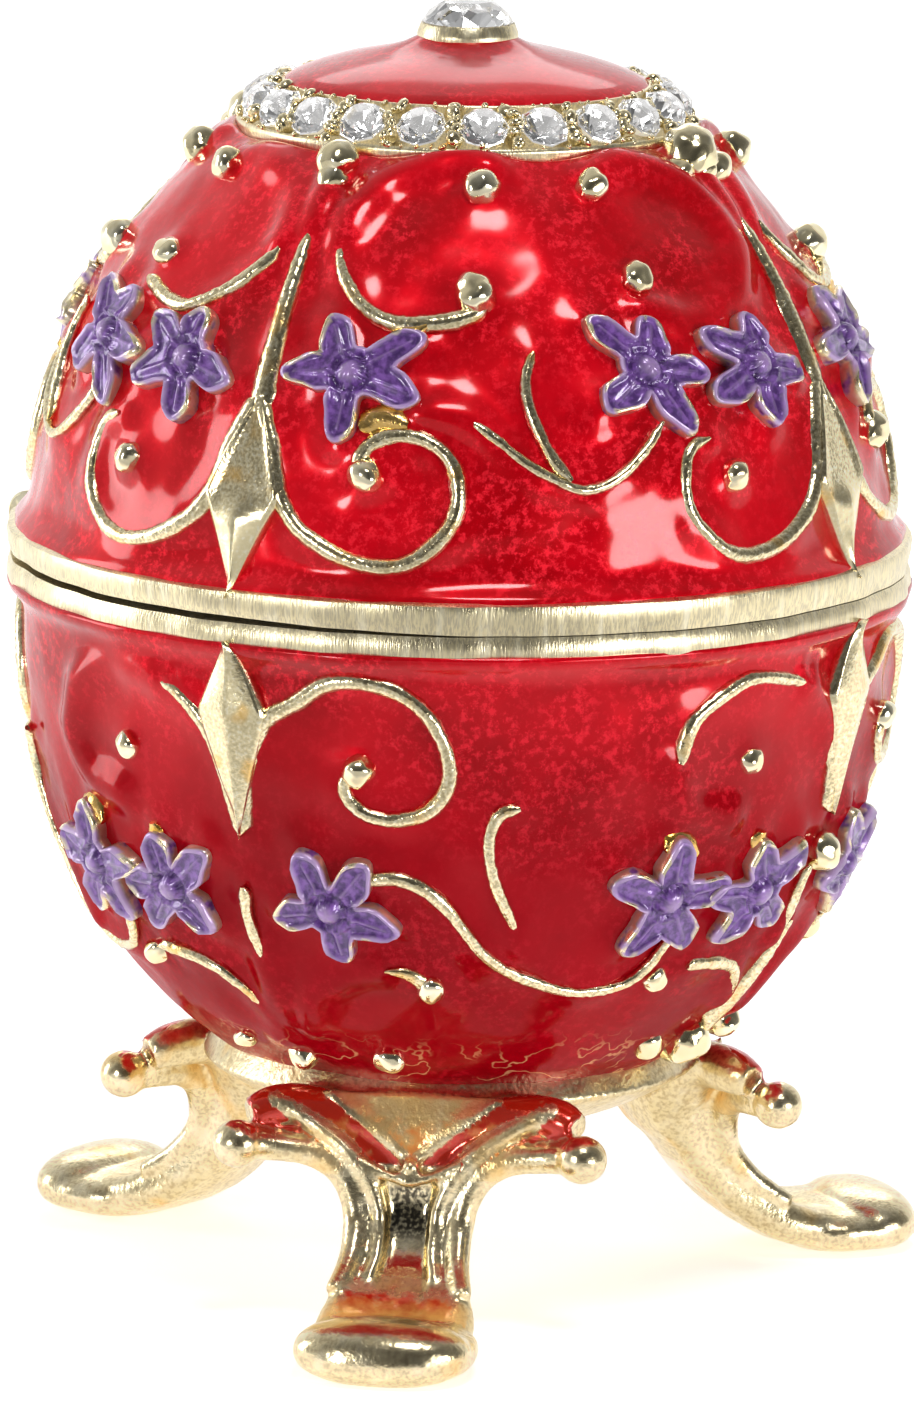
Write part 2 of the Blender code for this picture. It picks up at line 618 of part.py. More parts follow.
def make_stand(gold):
    """The bowl that holds the egg, and three legs, cast in one."""
    inner = BASE_WALL.profile(BOWL_RIM_DEPTH, EGG_FOOT_DEPTH, 4, -SEAT_GAP)
    outer = BASE_WALL.profile(BOWL_RIM_DEPTH, EGG_FOOT_DEPTH, 4, -SEAT_GAP - BOWL_WALL)
    floor = inner[-1][1] - SEAT_GAP
    profile = [
        (0, floor), (inner[-1][0], floor), *reversed(inner[:-1]),
        *outer[:-1], (outer[-1][0], floor - BOWL_WALL), (0, floor - BOWL_WALL),
    ]
    stand = turned("stand", profile, PARTS, gold)
    pieces = []
    for k in range(LEG_COUNT):
        turn = math.pi / 2 + STAND_TURN + k * math.tau / LEG_COUNT
        pieces += [make_leg(turn, f"_s{k}"), make_pad(turn, f"_s{k}")]
        for side, mark in ((-1, "a"), (1, "b")):
            pieces += make_arm(turn, side, f"_s{k}{mark}")
    fuse(stand, pieces)
    return stand


def main():
    for old in list(bpy.data.objects):
        bpy.data.objects.remove(old)
    for name in (PARTS, HELPERS):
        bpy.context.scene.collection.children.link(bpy.data.collections.new(name))

    red = material("red_enamel", (0.55, 0.005, 0.012), 0.2, 0.12)
    gold = material("pale_gold", (0.83, 0.72, 0.48), 1.0, 0.25)
    crystal = material("crystal", (0.95, 0.95, 0.97), 0.0, 0.03)

    lid = make_lid(red)
    base = make_base(red)
    stand = make_stand(gold)
    pin = along_hinge("hinge_pin", PIN_RADIUS, BARREL_LENGTH, group=PARTS, finish=gold, facets=12)
    stones = [*make_ring_stones(crystal), make_crown_stone(crystal)]
    for piece in (lid, base, stand, pin):
        freeze(piece)

    # The lid and its stones hang on the hinge's axis, and everything hangs on the frame
    frame = bpy.data.objects.new("frame", None)
    axis = bpy.data.objects.new("hinge_axis", None)
    for empty in (frame, axis):
        bpy.data.collections[PARTS].objects.link(empty)
    axis.parent = frame
    axis.location = (0, HINGE_Y, SEAM_HEIGHT)
    for piece in (lid, *stones):
        piece.parent = axis
        piece.matrix_parent_inverse = Matrix.Translation((0, -HINGE_Y, -SEAM_HEIGHT))
    for piece in (base, stand, pin):
        piece.parent = frame

    # The middle of the footprint goes to the origin
    corners = [v.co for piece in (lid, base, stand) for v in piece.data.vertices]
    for k in (0, 1):
        frame.location[k] = -(min(c[k] for c in corners) + max(c[k] for c in corners)) / 2


main()
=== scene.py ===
# %% [markdown]
# # A jewelled egg box, dressed over its solid model
# The solid model says where everything is: two hollow half shells with a hinge, a stand on
# three legs and twenty-two set stones. This lesson keeps those places and sizes and makes the
# surfaces again with the detail of the real thing: thick glossy enamel in cells, gilt scrolls
# with a pebbled cast skin, small painted flowers and cut crystals.

import math
from functools import partial

import bmesh
import bpy
import numpy as np
from mathutils import Matrix, Vector, noise
from mathutils.kdtree import KDTree


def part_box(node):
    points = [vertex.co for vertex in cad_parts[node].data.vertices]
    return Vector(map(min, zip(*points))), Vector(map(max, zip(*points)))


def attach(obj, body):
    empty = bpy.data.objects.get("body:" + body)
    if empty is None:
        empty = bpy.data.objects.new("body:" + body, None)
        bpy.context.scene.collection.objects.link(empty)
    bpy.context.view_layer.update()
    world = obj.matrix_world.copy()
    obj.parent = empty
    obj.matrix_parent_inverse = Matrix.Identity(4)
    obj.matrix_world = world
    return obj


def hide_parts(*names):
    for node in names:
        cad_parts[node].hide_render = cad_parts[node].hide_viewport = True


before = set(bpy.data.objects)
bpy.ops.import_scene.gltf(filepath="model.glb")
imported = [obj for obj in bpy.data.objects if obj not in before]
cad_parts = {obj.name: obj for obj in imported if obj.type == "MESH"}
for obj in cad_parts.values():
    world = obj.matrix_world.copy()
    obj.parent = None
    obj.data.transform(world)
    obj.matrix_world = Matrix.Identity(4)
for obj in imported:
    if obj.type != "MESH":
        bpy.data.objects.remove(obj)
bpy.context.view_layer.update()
MM = 0.001

# %% [markdown]
# ## Where the egg stands
# The hinge pin lies a known distance behind the egg's own axis, so its box gives the axis and
# the height of the seam. All the shapes below are measured from that axis.

# %% The egg's axis and seam
HINGE_REACH = 21.3 * MM
pin_low, pin_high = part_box("hinge_pin")
pin_middle = (pin_low + pin_high) / 2
AXIS = np.array([pin_middle.x, pin_middle.y - HINGE_REACH, 0.0])
SEAM = pin_middle.z
print("egg axis, mm:", AXIS[:2] / MM, "seam at", round(SEAM / MM, 2))

# %% [markdown]
# ## The camera
# The photograph was taken from a little above with a long lens, which is why the two rim bands
# look like flat ellipses. The numbers come from fitting a pinhole camera to those ellipses and
# to the feet. The picture leans by about one degree, so the camera is rolled by as much.

# %% Camera
CAMERA_TURN = math.radians(209.5)
CAMERA_RISE = math.radians(11.03)
CAMERA_DISTANCE = 525.38 * MM
CAMERA_ROLL = 0.01623
CAMERA_LENS = 296.1
AIM_UNDER_SEAM = 6.93 * MM


def linked(name, data):
    """An object in the scene for a mesh, a light or a camera."""
    made = bpy.data.objects.new(name, data)
    bpy.context.scene.collection.objects.link(made)
    return made


def direction(turn, rise):
    return Vector((math.cos(rise) * math.cos(turn), math.cos(rise) * math.sin(turn), math.sin(rise)))


aim = Vector(AXIS) + Vector((0, 0, SEAM - AIM_UNDER_SEAM))
away = direction(CAMERA_TURN, CAMERA_RISE)
lens = bpy.data.cameras.new("camera")
lens.lens = CAMERA_LENS
lens.clip_start, lens.clip_end = 0.02, 20
camera = linked("camera", lens)
camera.matrix_world = (Matrix.Translation(aim + away * CAMERA_DISTANCE)
                       @ (-away).to_track_quat("-Z", "Y").to_matrix().to_4x4()
                       @ Matrix.Rotation(CAMERA_ROLL, 4, "Z"))
bpy.context.scene.camera = camera
print("camera at", [round(v, 3) for v in camera.location])

# %% [markdown]
# ## Light
# Gold and enamel show what stands round them more than their own colour. A studio puts a large
# white diffuser on each side and above, and leaves the side of the camera darker, so that every
# curve gets a bright side with a dark edge. The surroundings are therefore a world that is pale
# behind and grey in front, with five area lights. Node trees are written with one helper, which
# adds a node with its settings and links or fills its sockets.

# %% Lights and world
def feed(tree, socket, value):
    """Links another socket or a sum to a socket, or writes a plain value there."""
    value = getattr(value, "socket", value)
    if isinstance(value, bpy.types.NodeSocket):
        tree.links.new(value, socket)
    else:
        socket.default_value = value


def new_node(tree, kind, settings=None, sockets=None):
    node = tree.nodes.new(kind)
    for key, value in (settings or {}).items():
        setattr(node, key, value)
    for key, value in (sockets or {}).items():
        feed(tree, node.inputs[key], value)
    return node


def area_light(name, turn, rise, distance, size, power):
    """An oval light that stands round the egg (degrees, degrees, metres) and faces it."""
    light = bpy.data.lights.new(name, "AREA")
    light.shape = "ELLIPSE"
    light.size, light.size_y = size
    light.energy = power
    out = direction(math.radians(turn), math.radians(rise))
    made = linked(name, light)
    made.location = aim + out * distance
    made.rotation_euler = out.to_track_quat("Z", "Y").to_euler()


area_light("left_softbox", 108, 8, 0.45, (0.18, 0.38), 0.86)
area_light("right_softbox", 256, 2, 0.50, (0.24, 0.15), 1.15)
area_light("front_window", 172, 8, 0.50, (0.09, 0.11), 0.5)
area_light("top_window", 222, 60, 0.45, (0.13, 0.10), 0.6)
area_light("behind_softbox", 30, 35, 0.50, (0.30, 0.16), 0.2)

DARK_SIDE = math.radians(232)
DARK_SIDE_RISE = 0.15
SKY_GREYS = (1.0, 0.72, 0.28, 0.07)
world = bpy.data.worlds.new("studio")
world.use_nodes = True
bpy.context.scene.world = world
world.node_tree.nodes.clear()
sky_node = partial(new_node, world.node_tree)
facing = sky_node("ShaderNodeVectorMath", {"operation": "DOT_PRODUCT"}, {
    0: sky_node("ShaderNodeTexCoord").outputs["Generated"],
    1: (math.cos(DARK_SIDE), math.sin(DARK_SIDE), DARK_SIDE_RISE)})
share = sky_node("ShaderNodeMapRange", None, {"Value": facing.outputs["Value"], "From Min": -1})
ramp = sky_node("ShaderNodeValToRGB", None, {"Fac": share.outputs["Result"]})
stops = ramp.color_ramp.elements
for spot in (0.42, 0.66):
    stops.new(spot)
for stop, grey in zip(stops, SKY_GREYS):
    stop.color = (grey, grey, grey, 1)
glow = sky_node("ShaderNodeBackground", None, {"Color": ramp.outputs["Color"], "Strength": 0.7})
sky_node("ShaderNodeOutputWorld", None, {"Surface": glow.outputs["Background"]})
bpy.context.scene.view_settings.view_transform = "Standard"

# %% [markdown]
# ## Writing materials as sums
# A node tree for a finish is easier to read as an expression. `Term` wraps a socket, and plus,
# minus and times on it add Math nodes. `Finish` holds one material and adds any other node.

# %% Term and Finish
class Term:
    """A number socket in a node tree that can be used in sums."""

    def __init__(self, finish, socket):
        self.finish, self.socket = finish, socket

    def maths(self, operation, *others):
        node = self.finish.node("ShaderNodeMath", {"operation": operation}, dict(enumerate([self, *others])))
        return Term(self.finish, node.outputs[0])

    def __add__(self, other):
        return self.maths("ADD", other)

    def __mul__(self, other):
        return self.maths("MULTIPLY", other)

    def __sub__(self, other):
        return self.maths("SUBTRACT", other)

    def __rsub__(self, other):
        return (self * -1.0) + other

    __radd__ = __add__
    __rmul__ = __mul__

    def over(self, low, high):
        """0 below low, 1 above high and a smooth step between."""
        node = self.finish.node("ShaderNodeMapRange", {"interpolation_type": "SMOOTHSTEP"},
                                {"Value": self, "From Min": low, "From Max": high})
        return Term(self.finish, node.outputs["Result"])

    def capped(self):
        return self.maths("MINIMUM", 1.0).maths("MAXIMUM", 0.0)


class Finish:
    """One material with a Principled shader, and the nodes that feed it."""

    def __init__(self, name, **values):
        self.material = bpy.data.materials.new(name)
        self.material.use_nodes = True
        self.tree = self.material.node_tree
        self.shader = self.tree.nodes["Principled BSDF"]
        self.where = self.node("ShaderNodeTexCoord").outputs["Object"]
        for key, value in values.items():
            self.shader.inputs[key.replace("_", " ")].default_value = value

    def node(self, kind, settings=None, sockets=None):
        return new_node(self.tree, kind, settings, sockets)

    def noise(self, size, detail=2.0, vector=None, roughness=0.5):
        """Soft noise from 0 to 1 whose lumps are about `size` metres across."""
        node = self.node("ShaderNodeTexNoise", None, {
            "Vector": vector or self.where, "Scale": 1 / size, "Detail": detail, "Roughness": roughness})
        return Term(self, node.outputs["Fac"])

    def attribute(self, name):
        return Term(self, self.node("ShaderNodeAttribute", {"attribute_name": name}).outputs["Fac"])

    def mix(self, share, one, two):
        """Colour one where the share is 0 and colour two where it is 1."""
        one, two = ((*c, 1) if isinstance(c, tuple) else c for c in (one, two))
        return self.node("ShaderNodeMix", {"data_type": "RGBA"}, {0: share, 6: one, 7: two}).outputs[2]

    def bump(self, height, depth):
        """A bump whose height of 0 to 1 stands for `depth` metres."""
        return self.node("ShaderNodeBump", None, {
            "Height": height, "Distance": depth, "Strength": 1.0}).outputs["Normal"]

    def set(self, **sockets):
        for key, value in sockets.items():
            feed(self.tree, self.shader.inputs[key.replace("_", " ")], value)
        return self.material


# %% [markdown]
# ## The red enamel
# On the real box a clear red glaze lies over a bright ground, so light goes in, comes back red
# and sparkles at fine specks in the ground. Here a metallic share under a clear coat gives that
# depth: the base reflects red, small specks turn brighter and rougher in patches, and the coat
# above has the slow ripples of fired glaze. Low on the egg the red is darkened as painted
# shade, its coat is thinner, and the glaze is worn there to gold hairlines.

# %% Red enamel
DEEP_RED, CLEAR_RED = (0.44, 0.0, 0.004), (0.70, 0.001, 0.010)
# The last red here is painted shade for the lower part of the egg.
SPARKLE_RED, PAINTED_SHADE_RED = (1.0, 0.02, 0.04), (0.16, 0.0, 0.004)
WORN_GOLD = (0.95, 0.55, 0.26)


def red_enamel():
    finish = Finish("red_enamel", Coat_Roughness=0.11, Coat_IOR=1.4, Specular_IOR_Level=0.0,
                    Specular_Tint=(0.5, 0.02, 0.03, 1.0))
    height = Term(finish, finish.node("ShaderNodeSeparateXYZ", None, {"Vector": finish.where}).outputs["Z"])
    clouds = finish.noise(5.0 * MM, 3.0).over(0.40, 0.60)
    specks = finish.noise(0.44 * MM, 4.0, roughness=0.75).over(0.47, 0.64)
    sparkle = specks * (clouds * 0.8 + 0.2)
    ground = finish.mix(finish.noise(6.0 * MM, 2.0).over(0.3, 0.7), DEEP_RED, CLEAR_RED)
    ground = finish.mix(sparkle * 0.85, ground, SPARKLE_RED)
    # Painted shade: the ground darkens towards the bottom of the egg, and the coat thins there.
    low = 1 - height.over(20.0 * MM, 36.0 * MM)
    ground = finish.mix(low * 0.62, ground, PAINTED_SHADE_RED)
    hair = 1 - (finish.noise(2.2 * MM, 3.0) - 0.5).maths("ABSOLUTE").over(0.003, 0.016)
    worn = hair * (1 - height.over(12.0 * MM, 14.5 * MM)) * finish.noise(3.0 * MM).over(0.40, 0.52)
    ground = finish.mix(worn * 0.65, ground, WORN_GOLD)
    ripple = finish.bump(finish.noise(2.6 * MM, 1.0), 0.06 * MM)
    return finish.set(Base_Color=ground, Metallic=finish.noise(0.5 * MM).over(0.3, 0.7) * 0.2 + 0.14,
                      Roughness=sparkle * 0.15 + 0.32, Coat_Weight=1.0 - low * 0.68, Normal=ripple)


RED = red_enamel()

# %% [markdown]
# ## Three golds
# The gilding is one pale plate, but each place wears its casting differently. The scrolls have
# a pebbled skin with dark pits and warm residue in the hollows, the rim bands were brushed up
# and down, and the beads and feet were polished.

# %% Gold finishes
PALE_GOLD = (0.92, 0.80, 0.50)
BRIGHT_GOLD = (1.0, 0.93, 0.70)
WARM_GOLD = (0.90, 0.52, 0.10)
DARK_GOLD = (0.36, 0.28, 0.14)


def pebbled_gold():
    """Pitted cast gold. Where a piece has the value `polish` it is smooth, and where `warm`, orange."""
    finish = Finish("pebbled_gold", Metallic=1.0)
    rough = 1 - finish.attribute("polish")
    pebbles = finish.noise(0.16 * MM, 2.0)
    lumps = finish.noise(0.56 * MM, 1.0)
    tone = finish.mix(1 - (1 - pebbles.over(0.30, 0.58)) * rough * 0.62, DARK_GOLD, PALE_GOLD)
    tone = finish.mix(pebbles.over(0.52, 0.72), tone, BRIGHT_GOLD)
    residue = (finish.noise(1.7 * MM, 2.0).over(0.56, 0.72) * 0.6 + finish.attribute("warm") * 0.75).capped()
    tone = finish.mix(residue, tone, WARM_GOLD)
    return finish.set(Base_Color=tone, Roughness=lumps * 0.14 + 0.13,
                      Normal=finish.bump(pebbles * rough + lumps * 0.7, 0.019 * MM))


def brushed_gold():
    """Fine upright scratches: noise that is stretched along the egg's axis."""
    finish = Finish("brushed_gold", Metallic=1.0)
    squeezed = finish.node("ShaderNodeMapping", None, {
        "Vector": finish.where, "Scale": (1.0, 1.0, 0.12)}).outputs["Vector"]
    scratches = finish.noise(0.085 * MM, 3.0, squeezed)
    bands = finish.noise(0.5 * MM, 2.0, squeezed)
    tone = finish.mix(scratches.over(0.36, 0.62), (0.64, 0.56, 0.38), PALE_GOLD)
    tone = finish.mix(bands.over(0.5, 0.75) * 0.6, tone, BRIGHT_GOLD)
    return finish.set(Base_Color=tone, Roughness=bands * 0.22 + 0.2,
                      Normal=finish.bump(scratches, 0.02 * MM))


def polished_gold():
    finish = Finish("polished_gold", Metallic=1.0)
    waves = finish.noise(1.1 * MM, 2.0)
    tone = finish.mix(waves.over(0.4, 0.7), PALE_GOLD, BRIGHT_GOLD)
    return finish.set(Base_Color=tone, Roughness=finish.noise(0.4 * MM) * 0.1 + 0.1,
                      Normal=finish.bump(waves, 0.09 * MM))


PEBBLED, BRUSHED, POLISHED = pebbled_gold(), brushed_gold(), polished_gold()

# %% [markdown]
# ## Purple paint, crystal and foil
# The flowers are painted by hand: dark purple in the hollows, a milky lilac where the paint
# thins over the raised rims, and bare gold at a few tips. The petals' meshes carry that as an
# attribute. The stones are clear, with a silvered cup behind them that throws the light back
# and also glows a little, as painted light.

# %% Flower paint, crystal and foil
def flower_paint():
    finish = Finish("flower_paint", Coat_Roughness=0.06)
    rim = finish.attribute("rim")
    bare = finish.attribute("bare") * finish.noise(0.8 * MM).over(0.3, 0.5)
    mottle = finish.noise(0.35 * MM, 3.0)
    paint = finish.mix(mottle.over(0.35, 0.7), (0.07, 0.022, 0.15), (0.24, 0.10, 0.42))
    edge = (rim * 1.25 - mottle * 0.5).capped()
    paint = finish.mix(edge, paint, (0.60, 0.42, 0.70))
    paint = finish.mix(bare, paint, PALE_GOLD)
    return finish.set(Base_Color=paint, Metallic=bare * 0.8 + 0.2, Roughness=0.34 - bare * 0.08,
                      Coat_Weight=0.8, Normal=finish.bump(mottle, 0.014 * MM))


def crystal():
    """Clear cut glass. Faint polishing marks are its only variation."""
    finish = Finish("crystal", Transmission_Weight=1.0, IOR=1.58)
    haze = finish.noise(0.4 * MM)
    return finish.set(Base_Color=finish.mix(haze, (0.98, 0.98, 0.98), (1.0, 1.0, 1.0)),
                      Roughness=haze * 0.02)


def glowing_silver_foil():
    # The foil glows with its own emission: painted light that brightens the stones.
    finish = Finish("glowing_silver_foil", Metallic=1.0, Emission_Color=(1.0, 0.98, 0.96, 1.0),
                    Emission_Strength=0.33)
    haze = finish.noise(0.3 * MM)
    return finish.set(Base_Color=finish.mix(haze, (0.92, 0.92, 0.93), (1.0, 1.0, 1.0)),
                      Roughness=haze * 0.08 + 0.12)


PAINT, CRYSTAL, GLOWING_FOIL = flower_paint(), crystal(), glowing_silver_foil()
print("finishes:", sorted(m.name for m in bpy.data.materials if m.use_nodes))

# %% [markdown]
# ## The curve of the shells
# Both shells follow a rounded curve from the seam to the crown or the foot. `Wall` knows that
# curve. A place on it is given as millimetres round from a stem of the pattern and millimetres
# along the curve from the seam, as one would measure with a strip of paper on the egg.

# %% Wall
def round_axis(r, h, angle):
    """Points at a radius and a height over the seam, turned round the egg's axis."""
    return AXIS + np.stack([r * np.cos(angle), r * np.sin(angle), SEAM + h + 0 * angle], -1)


class Wall:
    """The outside of one shell. All sizes are metres."""

    def __init__(self, radius, height, fullness, side):
        fall = np.linspace(0, 0.985, 800)
        self.heights = fall * height
        self.radii = radius * (1 - fall**fullness) ** (1 / fullness)
        self.run = np.concatenate([[0], np.cumsum(np.hypot(np.diff(self.heights), np.diff(self.radii)))])
        self.side = side

    def run_at(self, height):
        return float(np.interp(height, self.heights, self.run))

    def radius(self, up):
        return np.interp(up, self.run, self.radii)

    def turned(self, angle, up, proud=0.0):
        """Points at an angle round the axis, `up` along the wall and `proud` of it."""
        step = 0.2 * MM
        r, h = self.radius(up), np.interp(up, self.run, self.heights)
        dr = self.radius(up + step) - r
        dh = np.interp(up + step, self.run, self.heights) - h
        length = np.hypot(dr, dh)
        out, rise = r + proud * dh / length, self.side * (h - proud * dr / length)
        return round_axis(out, rise, angle)

    def at(self, turn, across, up, proud=0.0):
        return self.turned(turn + across / self.radius(up), up, proud)


LID = Wall(19.5 * MM, 22.9 * MM, 2.0, 1)
BASE = Wall(19.8 * MM, 25.2 * MM, 2.3, -1)
QUARTERS = [k * math.pi / 2 for k in range(4)]
BETWEEN = math.pi / 4
print("walls run", round(LID.run[-1] / MM, 1), "and", round(BASE.run[-1] / MM, 1), "mm")

# %% [markdown]
# ## Small mesh helpers
# Most pieces here are made from a grid of points. One helper turns such a grid into a smooth
# mesh, closed round one or both of its directions, and gives it a finish and named values.

# %% Mesh helpers
def name_values(mesh, values):
    """Stores numbers, or rows of three numbers, at a mesh's points under their names."""
    for key, numbers in values.items():
        numbers = np.asarray(numbers, np.float32)
        kind, field = ("FLOAT", "value") if numbers.ndim == 1 else ("FLOAT_VECTOR", "vector")
        mesh.attributes.new(key, kind, "POINT").data.foreach_set(field, numbers.ravel())


def piece_from(name, points, faces, finish, values=None, smooth=True):
    """A mesh object from points and faces in place, its faces turned outwards."""
    mesh = bpy.data.meshes.new(name)
    mesh.from_pydata(np.asarray(points).reshape(-1, 3).tolist(), [], [tuple(f) for f in faces])
    shape = bmesh.new()
    shape.from_mesh(mesh)
    bmesh.ops.recalc_face_normals(shape, faces=shape.faces)
    shape.to_mesh(mesh)
    shape.free()
    name_values(mesh, values or {})
    if smooth:
        mesh.shade_smooth()
    mesh.materials.append(finish)
    return linked(name, mesh)


def source_from(name, points, edges=(), **values):
    """An object of bare points or edges for a node tree, with named values at its points."""
    mesh = bpy.data.meshes.new(name)
    mesh.from_pydata(np.asarray(points, float).tolist(), edges, [])
    name_values(mesh, values)
    return linked(name, mesh)


def grid_faces(rows, columns, closed_rows=False, closed_columns=True, first=0):
    """Quads between the points of a grid of rows x columns."""
    i = np.arange(rows if closed_rows else rows - 1)[:, None]
    j = np.arange(columns if closed_columns else columns - 1)[None, :]
    a, b = i * columns + j, i * columns + (j + 1) % columns
    c, d = ((i + 1) % rows) * columns + (j + 1) % columns, ((i + 1) % rows) * columns + j
    return (np.stack([a, b, c, d], -1).reshape(-1, 4) + first).tolist()


def merged(name, parts, finish, smooth=True):
    """One mesh from several (points, faces, values) parts."""
    points, faces, values, first = [], [], {}, 0
    for part_points, part_faces, part_values in parts:
        part_points = np.asarray(part_points).reshape(-1, 3)
        points.append(part_points)
        faces += [tuple(int(v) + first for v in f) for f in part_faces]
        for key, numbers in part_values.items():
            values.setdefault(key, []).append(np.ravel(numbers))
        first += len(part_points)
    return piece_from(name, np.concatenate(points), faces, finish,
                      {k: np.concatenate(v) for k, v in values.items()}, smooth)


def with_ends(knots):
    """Knots with one more at each end, so that a smooth curve reaches the first and the last."""
    return np.vstack([2 * knots[0] - knots[1], knots, 2 * knots[-1] - knots[-2]])


def curve_between(a, b, c, d, t):
    """Places on the smooth curve from b to c, whose neighbours are a and d."""
    return 0.5 * (2 * b + (c - a) * t + (2 * a - 5 * b + 4 * c - d) * t**2 + (3 * b - a - 3 * c + d) * t**3)


def smooth_line(points, step=0.1 * MM):
    """Points about a step apart on a smooth curve through (across, up) points in mm."""
    knots = with_ends(np.array(points, float) * MM)
    line = [knots[1]]
    for a, b, c, d in zip(knots, knots[1:], knots[2:], knots[3:]):
        count = max(1, round(np.linalg.norm(c - b) / step))
        line += list(curve_between(a, b, c, d, (np.arange(1, count + 1) / count)[:, None]))
    return np.array(line)


def search_tree(places):
    """A tree that finds the nearest of the given places."""
    found = KDTree(len(places))
    for k, place in enumerate(places):
        found.insert(place, k)
    found.balance()
    return found


def lumps(points, size, seed=0.0):
    """Smooth noise of -1 to 1 at points, with lumps of the given size."""
    shift = Vector((seed, seed * 1.7, -seed))
    return np.array([noise.noise(Vector(p) / size + shift) for p in np.asarray(points).reshape(-1, 3)])


def keep(made, body, slot, *nodes):
    """Ties a finished piece to its body and hides the solids that it stands for; the slot is not used."""
    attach(made, body)
    if nodes:
        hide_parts(*nodes)
    triangles = sum(len(p.vertices) - 2 for p in made.data.polygons)
    print(f"{made.name}: {triangles} triangles")
    return made


# %% [markdown]
# ## The pattern
# The scrolls were traced once in wax and repeated round the egg, four times above and four
# times below. Each line here is a handful of places in millimetres: across from a stem, and
# along the wall from the seam. A line says how wide its ridge is at both ends, and how much of
# it the enamel has run over, from its start to its end.

# %% Pattern lines of one quarter
def mirrored(points):
    return [(-x, y) for x, y in points]


LID_CURL = [(0.1, 9.6), (1.0, 7.6), (1.5, 5.85), (2.5, 4.35), (3.75, 3.5), (5.0, 2.95), (6.4, 2.7),
            (7.6, 2.85), (8.6, 3.5), (9.4, 4.5), (9.65, 5.6), (9.4, 6.85), (8.8, 7.7)]
# name: (from the middle between stems?, points, start width, end width, buried start, buried end)
LID_LINES = {
    "stem": (False, [(0.1, 9.0), (0.1, 12.0), (0.1, 14.5), (0.1, 17.6)], 0.95, 0.42, -1.0, 0.4),
    "stem_top": (False, [(0.1, 17.2), (0, 18.6), (0, 20.8)], 0.6, 0.6, 1.3, 1.2),
    "curl_right": (False, [*LID_CURL, (7.8, 8.3), (6.5, 8.45), (5.5, 8.0), (5.1, 7.3), (5.4, 6.7)],
                   0.62, 0.5, -0.1, -0.3),
    "curl_left": (False, [*mirrored(LID_CURL), (-7.9, 8.0)], 0.75, 0.42, -0.2, 0.5),
    "arch_right": (False, [(8.6, 14.8), (8.7, 14.1), (7.75, 13.7), (6.5, 13.5), (5.25, 13.5), (4.0, 14.0),
                           (3.0, 14.85), (2.1, 16.1), (1.7, 17.3)], 0.66, 0.36, -1.0, 0.6),
    "arch_top": (False, [(1.7, 17.0), (1.65, 18.0), (1.9, 19.1), (2.5, 20.6), (3.75, 21.6), (5.0, 22.1),
                         (6.5, 21.6)], 0.6, 0.6, 1.2, 1.3),
    "web_low": (False, [(4.9, 8.7), (5.8, 9.2), (7.0, 8.9)], 1.0, 0.8, -1, -1),
    "web_high": (False, [(4.9, 11.9), (5.6, 12.7), (6.8, 13.3)], 0.8, 0.4, -1, -1),
    "arch_left": (False, [(-8.4, 14.1), (-6.6, 13.4), (-5.0, 13.35), (-3.1, 14.35), (-2.0, 15.35),
                          (-1.0, 16.5)], 0.5, 0.42, -0.5, 0.2),
    "arch_left_top": (False, [(-1.1, 16.6), (-1.2, 18.2), (-2.0, 20.2), (-4.2, 21.4), (-6.4, 21.0)],
                      0.6, 0.6, 1.2, 1.2),
    "swag": (True, [(-6.75, 9.6), (-5.75, 9.5), (-4.5, 9.1), (-3.4, 8.35), (-2.25, 7.35), (-1.0, 6.6),
                    (0.25, 6.1), (1.5, 6.35), (2.6, 7.1), (3.5, 8.0), (4.1, 8.85)], 0.34, 0.34, 0.95, -0.6),
    "sprig": (True, [(-1.5, 12.2), (-1.9, 11.1), (-1.9, 9.85), (-1.5, 8.6), (-1.0, 7.5), (-0.25, 6.5)],
              0.3, 0.5, -0.2, 0.0),
}
